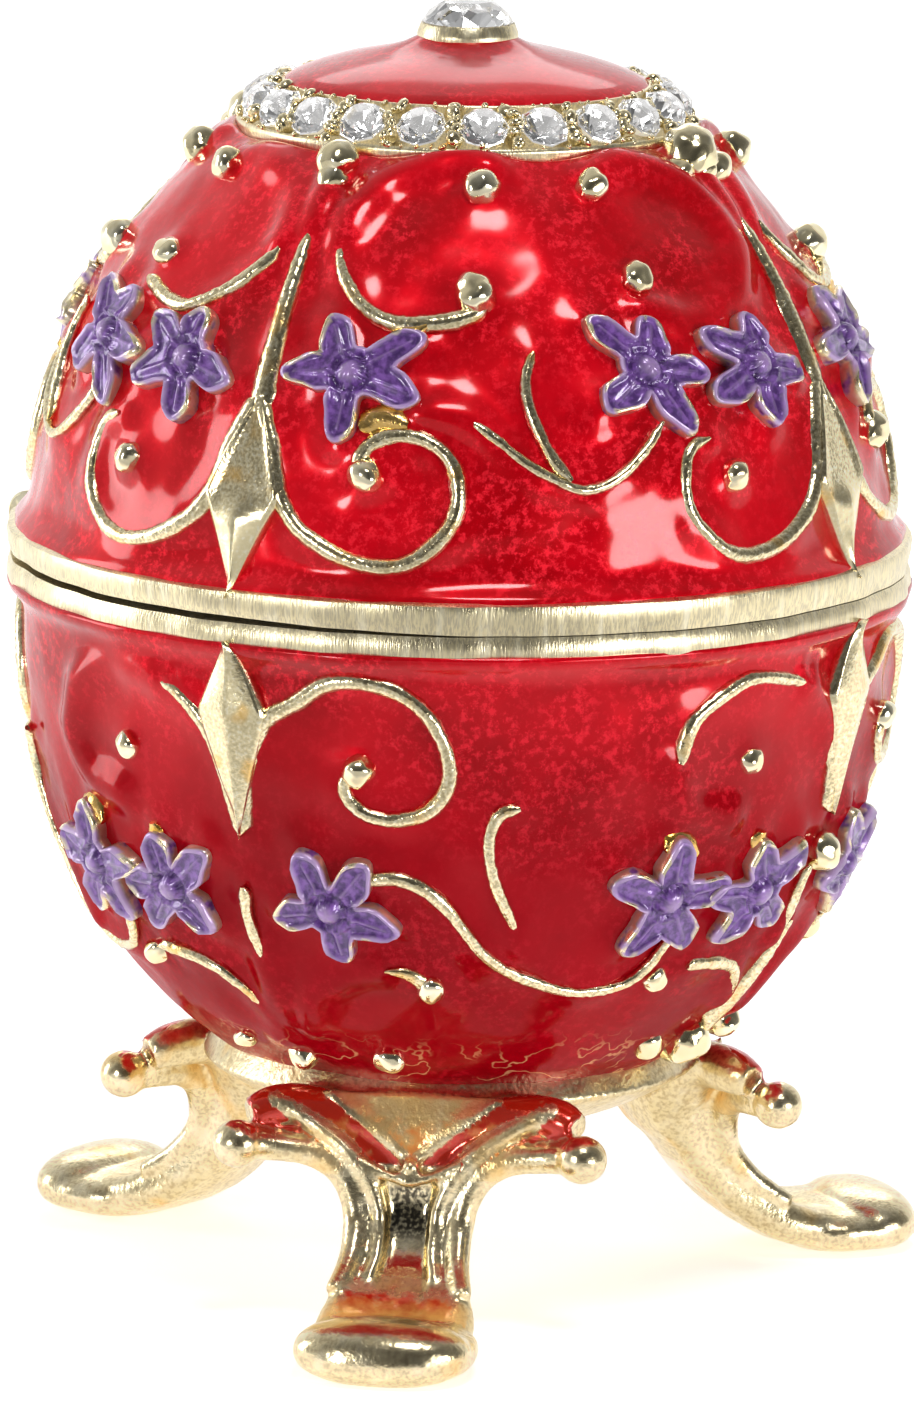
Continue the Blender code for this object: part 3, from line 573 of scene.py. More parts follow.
BASE_LINES = {
    "stem": (False, [(-0.3, 12.4), (-0.4, 14.0), (-0.2, 16.0), (0, 20.0)], 0.42, 0.4, -0.4, 1.8),
    "curl_right": (False, [(0, 9.75), (0.1, 8.25), (0.4, 6.75), (1.0, 5.25), (1.75, 4.25), (3.0, 3.5),
                           (4.0, 2.75), (5.0, 2.4), (6.25, 2.4), (7.6, 2.75), (8.75, 3.6), (9.5, 4.9),
                           (9.75, 6.25), (9.4, 7.4), (8.5, 8.25), (7.25, 8.6), (6.0, 8.4), (5.25, 7.75),
                           (5.1, 7.0), (5.6, 6.4)], 0.75, 0.42, -0.2, -0.1),
    "curl_left": (False, [(0, 9.75), (-0.3, 8.25), (-0.7, 6.75), (-1.5, 5.0), (-3.0, 3.6), (-3.9, 3.2)],
                  0.6, 0.5, 0.0, 1.2),
    "curl_left_top": (False, [(-3.4, 3.35), (-4.75, 3.0), (-6.2, 2.75), (-7.5, 2.9), (-9.75, 4.25),
                              (-10.4, 6.2)], 0.42, 0.6, 0.0, -0.1),
    "curl_left_end": (False, [(-10.4, 6.0), (-10.5, 6.75), (-9.25, 8.6), (-7.0, 8.9)], 0.5, 0.5, 1.2, 1.3),
    "swag": (True, [(-8.75, 11.6), (-7.5, 11.45), (-6.25, 11.9), (-5.25, 12.75), (-4.25, 14.0),
                    (-3.25, 15.25), (-2.0, 16.25), (-0.75, 16.9), (0.5, 17.4), (2.0, 17.6), (3.5, 17.25),
                    (4.4, 16.5), (5.0, 15.5), (5.4, 14.75)], 0.5, 0.32, 0.1, 0.2),
    "sprig": (True, [(-2.4, 7.9), (-3.25, 8.25), (-3.6, 9.25), (-3.5, 10.5), (-3.0, 12.0), (-2.25, 13.5),
                     (-1.6, 15.0), (0, 17.0)], 0.45, 0.4, -0.8, 1.2),
    "web_left": (False, [(-10.2, 10.3), (-9.4, 10.0), (-8.5, 10.6)], 1.0, 0.8, -1, -1),
    "web_right": (False, [(-4.9, 10.0), (-4.8, 11.2)], 0.8, 0.7, -1, -1),
    "stem_low": (False, [(0.0, 15.2), (-0.2, 17.0), (-0.5, 19.2), (-0.9, 21.6)], 0.35, 1.0, -0.2, -0.8),
    "hook_left": (False, [(-6.25, 16.6), (-4.0, 16.9), (-2.5, 17.6), (-1.0, 19.6), (-0.4, 21.4)],
                  0.5, 0.35, -0.2, 1.2),
    "hook_right": (False, [(7.3, 17.3), (6.6, 16.5), (5.6, 16.2)], 0.62, 0.3, -1.0, 0.3),
    "hook_right_low": (False, [(5.8, 16.2), (4.2, 16.7), (2.0, 18.1), (0.9, 20.6)], 0.5, 0.5, 1.2, 1.2),
}


def petals(points, wall):
    """Tips seen from outside with up as the photograph has it; the base's own up runs down."""
    return [(x, wall.side * y) for x, y in points]


LID_FLOWERS = [
    (4.1, 11.0, [(2.75, 1.8), (-1.5, 2.5), (-3.1, -0.1), (-0.1, -3.0), (3.1, -1.0)]),
    (-4.1, 10.9, [(0.4, 2.3), (-2.5, 1.7), (-3.0, -1.3), (0.0, -2.75), (2.6, -0.8)]),
    (-10.0, 11.2, [(1.25, 2.25), (-1.6, 2.4), (-2.5, -1.75), (1.1, -3.0), (2.9, -0.4)]),
]
BASE_FLOWERS = [
    (3.8, 13.0, [(-1.0, 2.7), (2.0, 2.3), (2.9, -0.95), (0.25, -2.6), (-2.6, -0.6)]),
    (-4.1, 12.9, [(-0.75, 2.5), (2.25, 2.0), (2.0, -1.9), (-1.75, -2.25), (-2.9, 0.0)]),
    (-9.3, 12.6, [(-0.4, 2.9), (3.0, 0.4), (1.9, -2.6), (-1.1, -2.7), (-3.0, 1.0)]),
]
# across, up, radius and how far its middle stands off the wall, in mm
LID_BEADS = [
    (5.5, 6.6, 0.74, 0.22), (-6.9, 6.2, 0.76, 0.2), (8.4, 14.95, 0.86, 0.25), (-8.0, 15.5, 0.78, 0.2),
    (6.8, 20.4, 0.80, 0.35), (-6.8, 20.4, 0.78, 0.3), (0.0, 21.3, 0.92, 0.5), (0.1, 20.4, 0.70, 0.35),
]
BASE_BEADS = [
    (5.7, 6.4, 0.68, 0.2), (-6.25, 6.55, 0.62, 0.15), (7.3, 17.4, 0.62, 0.15), (-7.3, 17.4, 0.62, 0.1),
    (3.7, 22.8, 0.62, 0.0), (-3.7, 22.6, 0.55, 0.0), (-0.7, 23.3, 0.7, -0.1),
]
HALVES = {"lid": (LID, LID_LINES, LID_FLOWERS, LID_BEADS),
          "base": (BASE, BASE_LINES, BASE_FLOWERS, BASE_BEADS)}
# lines that the enamel has run over on one quarter only, and by how much more
FLOODED = {("lid", "arch_left", 3): 1.5, ("base", "curl_left_top", 2): 1.3, ("base", "curl_left", 2): -0.8,
           ("base", "stem_low", 2): 1.5, ("base", "stem_low", 0): 1.0}
# beads of one quarter only: quarter, then the same four numbers
LONE_BEADS = {"base": [(3, 0.6, 11.9, 0.95, 0.3), (3, -1.0, 22.6, 1.15, 0.2)],
              "lid": [(3, 1.5, 20.3, 0.8, 0.35), (3, -1.3, 20.6, 0.62, 0.3)]}


def laid_lines(body, step, quarters=range(len(QUARTERS))):
    """Each line on each quarter: its name, turn, path, width in mm and how far it is buried."""
    for q in quarters:
        for line, (between, knots, width, last_width, bury, last_bury) in HALVES[body][1].items():
            path = smooth_line(knots, step)
            share = np.linspace(0, 1, len(path))
            buried = bury + (last_bury - bury) * share + FLOODED.get((body, line, q), 0)
            yield line, QUARTERS[q] + BETWEEN * between, path, width + (last_width - width) * share, buried


print(len(LID_LINES), "lines above,", len(BASE_LINES), "below, each four times")

# %% [markdown]
# ## Scroll ridges with Geometry Nodes
# A cast scroll is a bar that follows a line, widens and narrows, and has a grainy skin. That is
# what a curve with a profile does, so a node tree makes it: the line becomes a curve, a flat
# rounded profile is swept along it with the egg's own outward direction as its up, and noise
# roughens it. The tree's inputs are the step along the line, the grain and how rough it is.

# %% The scroll tree
RIDGE_PROUD = 0.60 * MM
CAST_WIDTH = 1.45


def tree_with(name, **sockets):
    """An empty Geometry Nodes tree: what its named inputs give, and a helper that adds nodes to it."""
    tree = bpy.data.node_groups.new(name, "GeometryNodeTree")
    tree.is_modifier = True
    for label, kind in {"Geometry": "Geometry", **sockets}.items():
        tree.interface.new_socket(label, in_out="INPUT", socket_type="NodeSocket" + kind)
    tree.interface.new_socket("Geometry", in_out="OUTPUT", socket_type="NodeSocketGeometry")
    add = partial(new_node, tree)
    return add("NodeGroupInput").outputs, add


def finish_tree(given, add, geometry):
    """The last nodes of each tree: real geometry, then its finish."""
    real = add("GeometryNodeRealizeInstances", None, {"Geometry": geometry})
    painted = add("GeometryNodeSetMaterial", None, {"Geometry": real.outputs[0], "Material": given["Finish"]})
    return add("NodeGroupOutput", None, {"Geometry": painted.outputs[0]}).id_data


def stored(add, name, kind="FLOAT"):
    """What the source's points carry under a name."""
    return add("GeometryNodeInputNamedAttribute", {"data_type": kind}, {"Name": name}).outputs["Attribute"]


def roughened(given, add, geometry):
    """Pushes points in and out by noise, with the tree's own Grain (per mm) and Roughen inputs."""
    where = add("GeometryNodeInputPosition").outputs[0]
    closer = add("ShaderNodeVectorMath", {"operation": "SCALE"}, {0: where, "Scale": 1 / MM})
    grain = add("ShaderNodeTexNoise", None, {
        "Vector": closer.outputs[0], "Scale": given["Grain"], "Detail": 1.0})
    centred = add("ShaderNodeMath", {"operation": "SUBTRACT"}, {0: grain.outputs["Fac"], 1: 0.5})
    amount = add("ShaderNodeMath", {"operation": "MULTIPLY"}, {0: centred.outputs[0], 1: given["Roughen"]})
    normal = add("GeometryNodeInputNormal").outputs["Normal"]
    push = add("ShaderNodeVectorMath", {"operation": "SCALE"}, {0: normal, "Scale": amount.outputs[0]})
    return add("GeometryNodeSetPosition", None, {"Geometry": geometry, "Offset": push.outputs[0]}).outputs[0]


def grown(name, source, tree, **inputs):
    """Runs a tree on a source object and keeps the result as a plain mesh object."""
    grow = source.modifiers.new("grow", "NODES")
    grow.node_group = tree
    sockets = {s.name: s.identifier for s in tree.interface.items_tree if s.in_out == "INPUT"}
    for label, value in inputs.items():
        grow[sockets[label.replace("_", " ")]] = value
    graph = bpy.context.evaluated_depsgraph_get()
    mesh = bpy.data.meshes.new_from_object(source.evaluated_get(graph))
    mesh.name = name
    bpy.data.objects.remove(source)
    mesh.shade_smooth()
    return linked(name, mesh)


def scroll_tree():
    given, add = tree_with("scroll_ridges", Step="Float", Grain="Float", Roughen="Float", Finish="Material")
    curve = add("GeometryNodeMeshToCurve", None, {"Mesh": given["Geometry"]})
    even = add("GeometryNodeResampleCurve", {"mode": "LENGTH"}, {
        "Curve": curve.outputs[0], "Length": given["Step"]})
    upright = add("GeometryNodeSetCurveNormal", {"mode": "FREE"}, {
        "Curve": even.outputs[0], "Normal": stored(add, "outward", "FLOAT_VECTOR")})
    profile = add("GeometryNodeCurvePrimitiveCircle", None, {"Resolution": 12, "Radius": 1.0})
    swept = add("GeometryNodeCurveToMesh", None, {
        "Curve": upright.outputs[0], "Profile Curve": profile.outputs["Curve"],
        "Scale": stored(add, "half_width"), "Fill Caps": True})
    return finish_tree(given, add, roughened(given, add, swept.outputs[0]))


SCROLLS = scroll_tree()


def ridge_source(body, wall):
    """Edges along every line of the pattern, with half widths and outward directions."""
    points, edges, half_width, outward, warm = [], [], [], [], []
    for line, turn, path, width, buried in laid_lines(body, 0.1 * MM):
        place = wall.at(turn, *path.T)
        buried = buried + 0.3 * lumps(place, 2.4 * MM, 3.0)
        half = CAST_WIDTH * width / 2 * MM * (1 + 0.16 * lumps(place, 0.9 * MM, 7.0))
        half *= 1 + 0.2 * lumps(place, 3.0 * MM, 9.0)
        half *= np.clip(1.15 - 0.5 * np.clip(buried, 0, None), 0.3, 1.0)
        half[:4] *= np.linspace(0.35, 1, 4)
        half[-6:] *= np.linspace(1, 0.3, 6)
        rise = RIDGE_PROUD - half - np.clip(buried - 0.35, 0, 1) * 0.55 * MM
        first = len(points)
        points += list(wall.at(turn, *path.T, rise))
        edges += [(first + i, first + i + 1) for i in range(len(path) - 1)]
        half_width += list(half)
        warm += [float(line.startswith("web"))] * len(path)
        out = wall.at(turn, *path.T, MM) - place
        outward += list(out / np.linalg.norm(out, axis=1, keepdims=True))
    return source_from(body + "_lines", points, edges, half_width=half_width, warm=warm, outward=outward)


for body, (wall, *_) in HALVES.items():
    made = grown(body + "_scrolls", ridge_source(body, wall), SCROLLS,
                 Step=0.16 * MM, Grain=3.6, Roughen=0.14 * MM, Finish=PEBBLED)
    keep(made, body, "gilt_casting")

# %% [markdown]
# ## The enamel skins
# Enamel is laid wet between the ridges and creeps up their sides, so its surface is a soft
# dish with a raised edge wherever there is metal. The skin is a fine grid round the egg, and
# each of its points is lifted by how near it is to a ridge, a leaf, a bead or the band. The
# grid turns back on itself at both ends and runs behind the outside, so the skin is closed.

# %% Enamel skin
BAND_TOP = 1.34 * MM
ENAMEL_START = BAND_TOP - 0.3 * MM
LEVEL, EDGE_PROUD, SKIN_BACK = 0.06 * MM, 0.74 * MM, 0.55 * MM


def lines_on(body, wall, extra):
    """A search tree of places on the ridges, and how strongly the enamel climbs each."""
    places, climbs = [], []
    for q, quarter in enumerate(QUARTERS):
        for line, turn, path, width, buried in laid_lines(body, 0.25 * MM, [q]):
            places += list(wall.at(turn, *path.T))
            climbs += list(0.26 + 0.38 * np.clip(buried, 0, 1))
        for across, up, climb in extra:
            places.append(wall.at(quarter, across * MM, up * MM))
            climbs.append(climb)
    return search_tree(places), np.array(climbs)


def enamel_skin(body, wall, high, extra, columns=640, rows=126):
    """The outer skin of enamel from the band to a height along the wall, with its inner return."""
    near, climbs = lines_on(body, wall, extra)
    low = ENAMEL_START
    ups = np.linspace(low, high, rows)
    angles = np.arange(columns) * math.tau / columns
    angle, up = np.meshgrid(angles, ups)
    creep = np.sin(7 * angle + 1) + np.sin(17 * angle) + 0.7 * np.sin(31 * angle + 2)
    flat = wall.turned(angle, up).reshape(-1, 3)
    distance, climb = np.empty(len(flat)), np.empty(len(flat))
    for k, place in enumerate(flat):
        _, index, distance[k] = near.find(place)
        climb[k] = climbs[index]
    slow, quick = lumps(flat, 3.4 * MM, 1.0), lumps(flat, 1.3 * MM, 5.0)
    reach = (0.95 + 0.2 * slow) * MM
    swell = (climb * MM * (0.85 + 0.35 * slow) * np.exp(-(distance / reach) ** 2.1)).reshape(rows, columns)
    for _ in range(3):
        swell = (np.roll(swell, 1, 1) + 2 * swell + np.roll(swell, -1, 1)) / 4
        swell[1:-1] = (swell[:-2] + 2 * swell[1:-1] + swell[2:]) / 4
    dish = 0.17 * MM * slow + 0.03 * MM * quick
    over_band = np.clip(up.ravel() - low - 0.3 * MM, 0, None) / (0.6 * MM)
    proud = LEVEL + swell.ravel() + dish * (1 - np.exp(-over_band))
    edge = EDGE_PROUD * np.exp(-over_band**1.5) * (1 + 0.035 * creep.ravel())
    proud = (proud + edge).reshape(rows, columns)
    proud[-1] -= 0.15 * MM
    back_angle, back_up = np.meshgrid(angles, np.linspace(high, low, 10))
    points = np.concatenate([wall.turned(angle, up, proud), wall.turned(back_angle, back_up, -SKIN_BACK)])
    return piece_from(body + "_enamel", points, grid_faces(rows + 10, columns, closed_rows=True), RED)


# more places that the enamel climbs: across, up and how far, in mm
LID_SPOTS = [(0, 21.3, 0.35), (0, 5.3, 0.2), (0, 3.5, 0.2), (0.5, 6.8, 0.2), (-0.5, 6.8, 0.2)]
LID_SPOTS += [(across, up, 0.36) for across, up, *_ in LID_BEADS]
BASE_SPOTS = [(0, 4.0, 0.2), (0, 6.0, 0.2), (0, 8.0, 0.2)]
BASE_SPOTS += [(across, up, 0.30) for across, up, *_ in BASE_BEADS[:4]]
SKIN_ENDS = {"lid": LID.run_at(19.45 * MM), "base": BASE.run_at(23.4 * MM)}
for (body, (wall, _, flowers, _)), spots in zip(HALVES.items(), (LID_SPOTS, BASE_SPOTS)):
    spots += [(across + t * x, up + t * y, 0.42) for across, up, tips in flowers
              for x, y in petals(tips, wall) for t in (0.0, 0.35, 0.7, 1.0)]
    keep(enamel_skin(body, wall, SKIN_ENDS[body], spots), body, "enamelled_shell")

# %% [markdown]
# ## The castings under the enamel
# Each half is one casting: the band round the seam, the wall under the enamel, the plain
# inside, and on the lid the channel for the stones, the dome and the collar. They are turned
# shapes, so a profile that is carried round the axis makes them. The band is a little uneven,
# as a hand-filed rim is, and the lid doesn't close quite flat.

# %% Turned castings
def turned_piece(name, profile, finish, uneven, columns=256, closed=False):
    """A profile of (radius, height over the seam) carried round the axis."""
    r, h = np.array(profile).T[:, :, None]
    angle = np.tile(np.arange(columns) * math.tau / columns, (len(profile), 1))
    r, h = uneven(r + 0 * angle, h + 0 * angle, angle)
    made = piece_from(name, round_axis(r, h, angle), grid_faces(*r.shape, closed_rows=closed), finish)
    shape = bmesh.new()
    shape.from_mesh(made.data)
    bmesh.ops.remove_doubles(shape, verts=shape.verts, dist=0.002 * MM)
    bmesh.ops.dissolve_degenerate(shape, edges=shape.edges, dist=0.001 * MM)
    bmesh.ops.recalc_face_normals(shape, faces=shape.faces)
    shape.to_mesh(made.data)
    shape.free()
    made.data.set_sharp_from_angle(angle=math.radians(40))
    return made


def wall_profile(wall, low, high, count, inset):
    """(radius, height) points along a wall, a distance inside it."""
    ups = np.linspace(wall.run_at(low), wall.run_at(high), count)
    spots = wall.turned(np.zeros(count), ups, -inset) - AXIS
    return [(float(p[0]), float(p[2] - SEAM)) for p in spots]


def rounded(points, radius, steps=3):
    """The same profile with each of its corners rounded."""
    made = []
    for before, at, after in zip(points, points[1:], points[2:]):
        before, at, after = (np.array(p) for p in (before, at, after))
        one, two = before - at, after - at
        cut = min(radius, 0.45 * np.linalg.norm(one), 0.45 * np.linalg.norm(two))
        one, two = at + one / np.linalg.norm(one) * cut, at + two / np.linalg.norm(two) * cut
        for t in np.linspace(0, 1, steps + 1):
            made.append(tuple((1 - t) ** 2 * one + 2 * t * (1 - t) * at + t**2 * two))
    return [points[0], *made, points[-1]]


WALL_INSET = 2.0 * MM
UNDER_ENAMEL = 0.4 * MM
BAND_RADIUS = 20.5 * MM
SEAM_HALF = 0.15 * MM
CHANNEL_LOW = np.array([10.3, 20.0]) * MM
CHANNEL_HIGH = np.array([8.4, 21.6]) * MM
CHANNEL_RIM = 0.12 * MM
CHANNEL_DEPTH = 0.75 * MM
COLLAR_RADIUS = 2.3 * MM
COLLAR_TOP = 24.22 * MM


def band_wear(side):
    """Moves the band's points a little, as filing does, and lifts the lid's seam on one side."""
    def wear(r, h, at):
        on_band = r > BAND_RADIUS - 0.6 * MM
        ripple = 0.05 * np.sin(9 * at + 1.0) + 0.05 * np.sin(23 * at) + 0.03 * np.sin(41 * at + 2.0)
        r = r + np.where(on_band, ripple * MM, 0)
        seam = np.abs(h) < 0.4 * MM
        shut = np.clip(0.5 + 1.6 * np.cos(at - math.radians(285)), 0, 1)
        h = h - np.where((r > 16 * MM) & seam & (side > 0), shut * 0.25 * MM, 0)
        return r, h
    return wear


along = (CHANNEL_LOW - CHANNEL_HIGH) / np.linalg.norm(CHANNEL_LOW - CHANNEL_HIGH)
into = np.array([along[1], -along[0]])
lid_outside = [
    (1.95 * MM, 22.75 * MM), (1.92 * MM, COLLAR_TOP), (COLLAR_RADIUS - 0.2 * MM, COLLAR_TOP + 0.05 * MM),
    (COLLAR_RADIUS, 23.75 * MM), (COLLAR_RADIUS - 0.06 * MM, 23.2 * MM), (5.2 * MM, 22.2 * MM),
    (7.9 * MM, 21.2 * MM),
    tuple(CHANNEL_HIGH - (0.3 * MM, 0)), tuple(CHANNEL_HIGH),
    tuple(CHANNEL_HIGH + along * CHANNEL_RIM * 2 + into * CHANNEL_DEPTH),
    tuple(CHANNEL_LOW - along * CHANNEL_RIM * 2 + into * CHANNEL_DEPTH),
    tuple(CHANNEL_LOW), (10.42 * MM, 19.8 * MM), (10.3 * MM, 19.3 * MM),
]
lid_wall = wall_profile(LID, BAND_TOP, 18.9 * MM, 24, UNDER_ENAMEL)[::-1]
lid_band = [
    (19.6 * MM, BAND_TOP), (20.25 * MM, BAND_TOP), (BAND_RADIUS, BAND_TOP - 0.12 * MM),
    (BAND_RADIUS + 0.05 * MM, 1.0 * MM), (BAND_RADIUS, 0.45 * MM), (BAND_RADIUS - 0.12 * MM, SEAM_HALF),
]
lid_inside = wall_profile(LID, SEAM_HALF, 22.0 * MM, 28, WALL_INSET)
lid_profile = [(0.0, 22.75 * MM), *rounded(lid_outside, 0.12 * MM), *lid_wall,
               *lid_band, *lid_inside, (0.0, lid_inside[-1][1])]
lid_casting = turned_piece("lid_casting", lid_profile, BRUSHED, band_wear(1))
base_wall = wall_profile(BASE, BAND_TOP, 24.44 * MM, 26, UNDER_ENAMEL)
base_inside = wall_profile(BASE, SEAM_HALF, 24.44 * MM, 26, WALL_INSET)[::-1]
base_profile = [
    (0.0, base_inside[0][1]), *base_inside, (BAND_RADIUS - 0.12 * MM, -SEAM_HALF), (BAND_RADIUS, -0.45 * MM),
    (BAND_RADIUS + 0.04 * MM, -1.0 * MM), (BAND_RADIUS - 0.03 * MM, -BAND_TOP + 0.12 * MM),
    (20.2 * MM, -BAND_TOP), (19.9 * MM, -BAND_TOP), *base_wall, (0.0, base_wall[-1][1]),
]
base_casting = turned_piece("base_casting", base_profile, BRUSHED, band_wear(-1))
keep(lid_casting, "lid", "gilt_casting", "egg_lid")
keep(base_casting, "base", "gilt_casting", "egg_base")

# %% [markdown]
# ## The enamelled dome
# Between the collar and the stones the crown is a shallow dome of the same red, slightly hollow
# towards the collar. It is a turned skin with soft waves.

# %% Dome
def dome_waves(r, h, at):
    swell = np.sin(3 * at + 0.6) + 0.6 * np.sin(5 * at + r / MM)
    return r, h + np.where(h > 21.3 * MM, 0.03 * MM * swell, 0)


dome_profile = [
    (2.15 * MM, 23.0 * MM), (2.25 * MM, 23.62 * MM), (2.5 * MM, 23.5 * MM), (2.9 * MM, 23.3 * MM),
    (3.6 * MM, 23.08 * MM), (4.5 * MM, 22.88 * MM), (5.7 * MM, 22.6 * MM), (6.8 * MM, 22.28 * MM),
    (7.6 * MM, 21.98 * MM), (8.1 * MM, 21.74 * MM), (8.3 * MM, 21.5 * MM), (8.15 * MM, 21.2 * MM),
    (5.0 * MM, 21.9 * MM),
]
dome = turned_piece("dome_enamel", dome_profile, RED, dome_waves, 128, closed=True)
keep(dome, "lid", "enamelled_shell")

# %% [markdown]
# ## Leaves like spear heads
# At the foot of each stem sits a leaf with a long point. Its upper half is pebbled between two
# raised edges and its lower half is smooth, with a crease down the middle. It is a small grid
# whose width follows the leaf's outline and whose height is written as a sum of its edges,
# crease and hollow.

# %% Leaves
def leaf(wall, turn, head, waist, tip, half_width, lean, creased):
    """Points and faces of one closed leaf. Heights along the wall are in mm."""
    rows, columns = 30, 17
    v = np.linspace(0, 1, rows)[:, None]
    u = np.linspace(-1, 1, columns)[None, :]
    middle = (head - waist) / (head - tip)
    width = np.where(v < middle, (v / middle) ** 0.85, ((1 - v) / (1 - middle)) ** 1.1)
    across = (u * half_width * width + lean * (v - middle)) * MM
    up = (head + (tip - head) * v + 0 * u) * MM
    lower = np.clip(np.clip((v - middle) / 0.12, 0, 1) + creased, 0, 1)
    height = (0.72 + 0.16 * np.exp(-((1 - np.abs(u)) / 0.20) ** 2) * (1 - lower)
              + 0.34 * (1 - np.abs(u) ** 1.2) * lower - 0.08 * (1 - lower)) * (0.72 + 0.28 * width)
    height += 0.5 * (np.exp(-v / 0.07) * creased + np.exp(-(1 - v) / 0.05) * (1 - creased))
    top = wall.at(turn, across, up, height * MM)
    rim = wall.at(turn, across * 1.15, up, -0.35 * MM)
    faces = grid_faces(rows, columns, closed_columns=False)
    under = grid_faces(rows, columns, closed_columns=False, first=rows * columns)
    loop = ([(0, j) for j in range(columns)] + [(i, columns - 1) for i in range(1, rows)]
            + [(rows - 1, j) for j in range(columns - 2, -1, -1)] + [(i, 0) for i in range(rows - 2, 0, -1)])
    ring = [i * columns + j for i, j in loop]
    walls = [(a, b, b + rows * columns, a + rows * columns) for a, b in zip(ring, ring[1:] + ring[:1])]
    polish = np.broadcast_to(lower * (0.9 - 0.5 * creased), (rows, columns)).ravel()
    return (np.concatenate([top.reshape(-1, 3), rim.reshape(-1, 3)]), faces + under + walls,
            {"polish": np.tile(polish, 2)})


LEAF_SIZES = {"lid": (9.6, 5.4, 0.9, 1.75, -0.3, 0), "base": (0.9, 4.2, 9.9, 1.6, 0.1, 1)}
for body, (wall, *_) in HALVES.items():
    made = merged(body + "_leaves", [leaf(wall, q, *LEAF_SIZES[body]) for q in QUARTERS], PEBBLED)
    keep(made, body, "gilt_casting")

# %% [markdown]
# ## Beads with Geometry Nodes
# The curls end in little round beads, and bigger knobs sit under the stone ring. Beads repeat,
# so points carry their sizes and a tree puts a slightly squashed ball on each, turned at random
# with a fixed seed.

# %% Bead tree
def bead_tree():
    given, add = tree_with("beads", Seed="Int", Squash="Float", Fineness="Int", Grain="Float",
                           Roughen="Float", Finish="Material")
    size = stored(add, "size")
    ball = add("GeometryNodeMeshIcoSphere", None, {"Radius": 1.0, "Subdivisions": given["Fineness"]})
    turn = add("FunctionNodeRandomValue", {"data_type": "FLOAT_VECTOR"}, {
        "Max": (math.tau, math.tau, math.tau), "Seed": given["Seed"]})
    squashed = add("ShaderNodeMath", {"operation": "MULTIPLY"}, {0: size, 1: given["Squash"]})
    scale = add("ShaderNodeCombineXYZ", None, {"X": size, "Y": size, "Z": squashed.outputs[0]})
    points = add("GeometryNodeMeshToPoints", None, {"Mesh": given["Geometry"]})
    placed = add("GeometryNodeInstanceOnPoints", None, {
        "Points": points.outputs[0], "Instance": ball.outputs["Mesh"], "Rotation": turn.outputs[0],
        "Scale": scale.outputs[0]})
    real = add("GeometryNodeRealizeInstances", None, {"Geometry": placed.outputs[0]})
    return finish_tree(given, add, roughened(given, add, real.outputs[0]))


BEADS = bead_tree()
BEAD_CAST = 1.1


def bead_source(body, wall, beads):
    points, sizes = [], []
    for q, quarter in enumerate(QUARTERS):
        for k, (across, up, radius, stand) in enumerate(beads):
            points.append(wall.at(quarter, across * MM, up * MM, stand * MM))
            knob = 1.25 if up > 21 and q == 3 else 1.0
            sizes.append(BEAD_CAST * radius * MM * knob * (1 + 0.06 * math.sin(7 * q + 3 * k)))
    for q, across, up, radius, stand in LONE_BEADS[body]:
        points.append(wall.at(QUARTERS[q], across * MM, up * MM, stand * MM))
        sizes.append(radius * MM)
    return source_from(body + "_bead_spots", points, size=sizes)


for body, (wall, _, _, beads) in HALVES.items():
    made = grown(body + "_beads", bead_source(body, wall, beads), BEADS, Seed=4, Squash=0.9,
                 Fineness=4, Grain=0.9, Roughen=0.5 * MM, Finish=POLISHED)
    keep(made, body, "gilt_casting")

# %% [markdown]
# ## Flowers
# Each flower is a star of five narrow petals with raised rims round a hollow, a furrow down
# every petal and a round eye in a ring. The outline is the far side of five ellipses. A fan of
# points fills it, and the height of each point depends on its distance to that outline, so the
# rim runs evenly round every petal.

# %% Flower
def petal_reach(angle, tips, waist, seed):
    """How far the flower reaches in each direction, in mm: petals are widest at half length."""
    reach = np.full_like(angle, waist)
    steps = np.linspace(0.3, 3.9, 145)[:, None]
    for k, (x, y) in enumerate(tips):
        length = math.hypot(x, y) * 1.03
        off = angle[None, :] - math.atan2(y, x)
        ahead, aside = steps * np.cos(off) / length, steps * np.sin(off)
        lobed = 1 + 0.18 * np.sin(9 * ahead + seed + 2 * k + np.sign(aside))
        width = 0.76 * lobed * np.clip(np.sin(math.pi * np.clip(ahead, 0, 1) ** 1.1), 0, 1) ** 0.5
        inside = (np.abs(aside) < width) & (ahead > 0) & (ahead < 1)
        reach = np.maximum(reach, (steps * inside).max(0))
    return reach


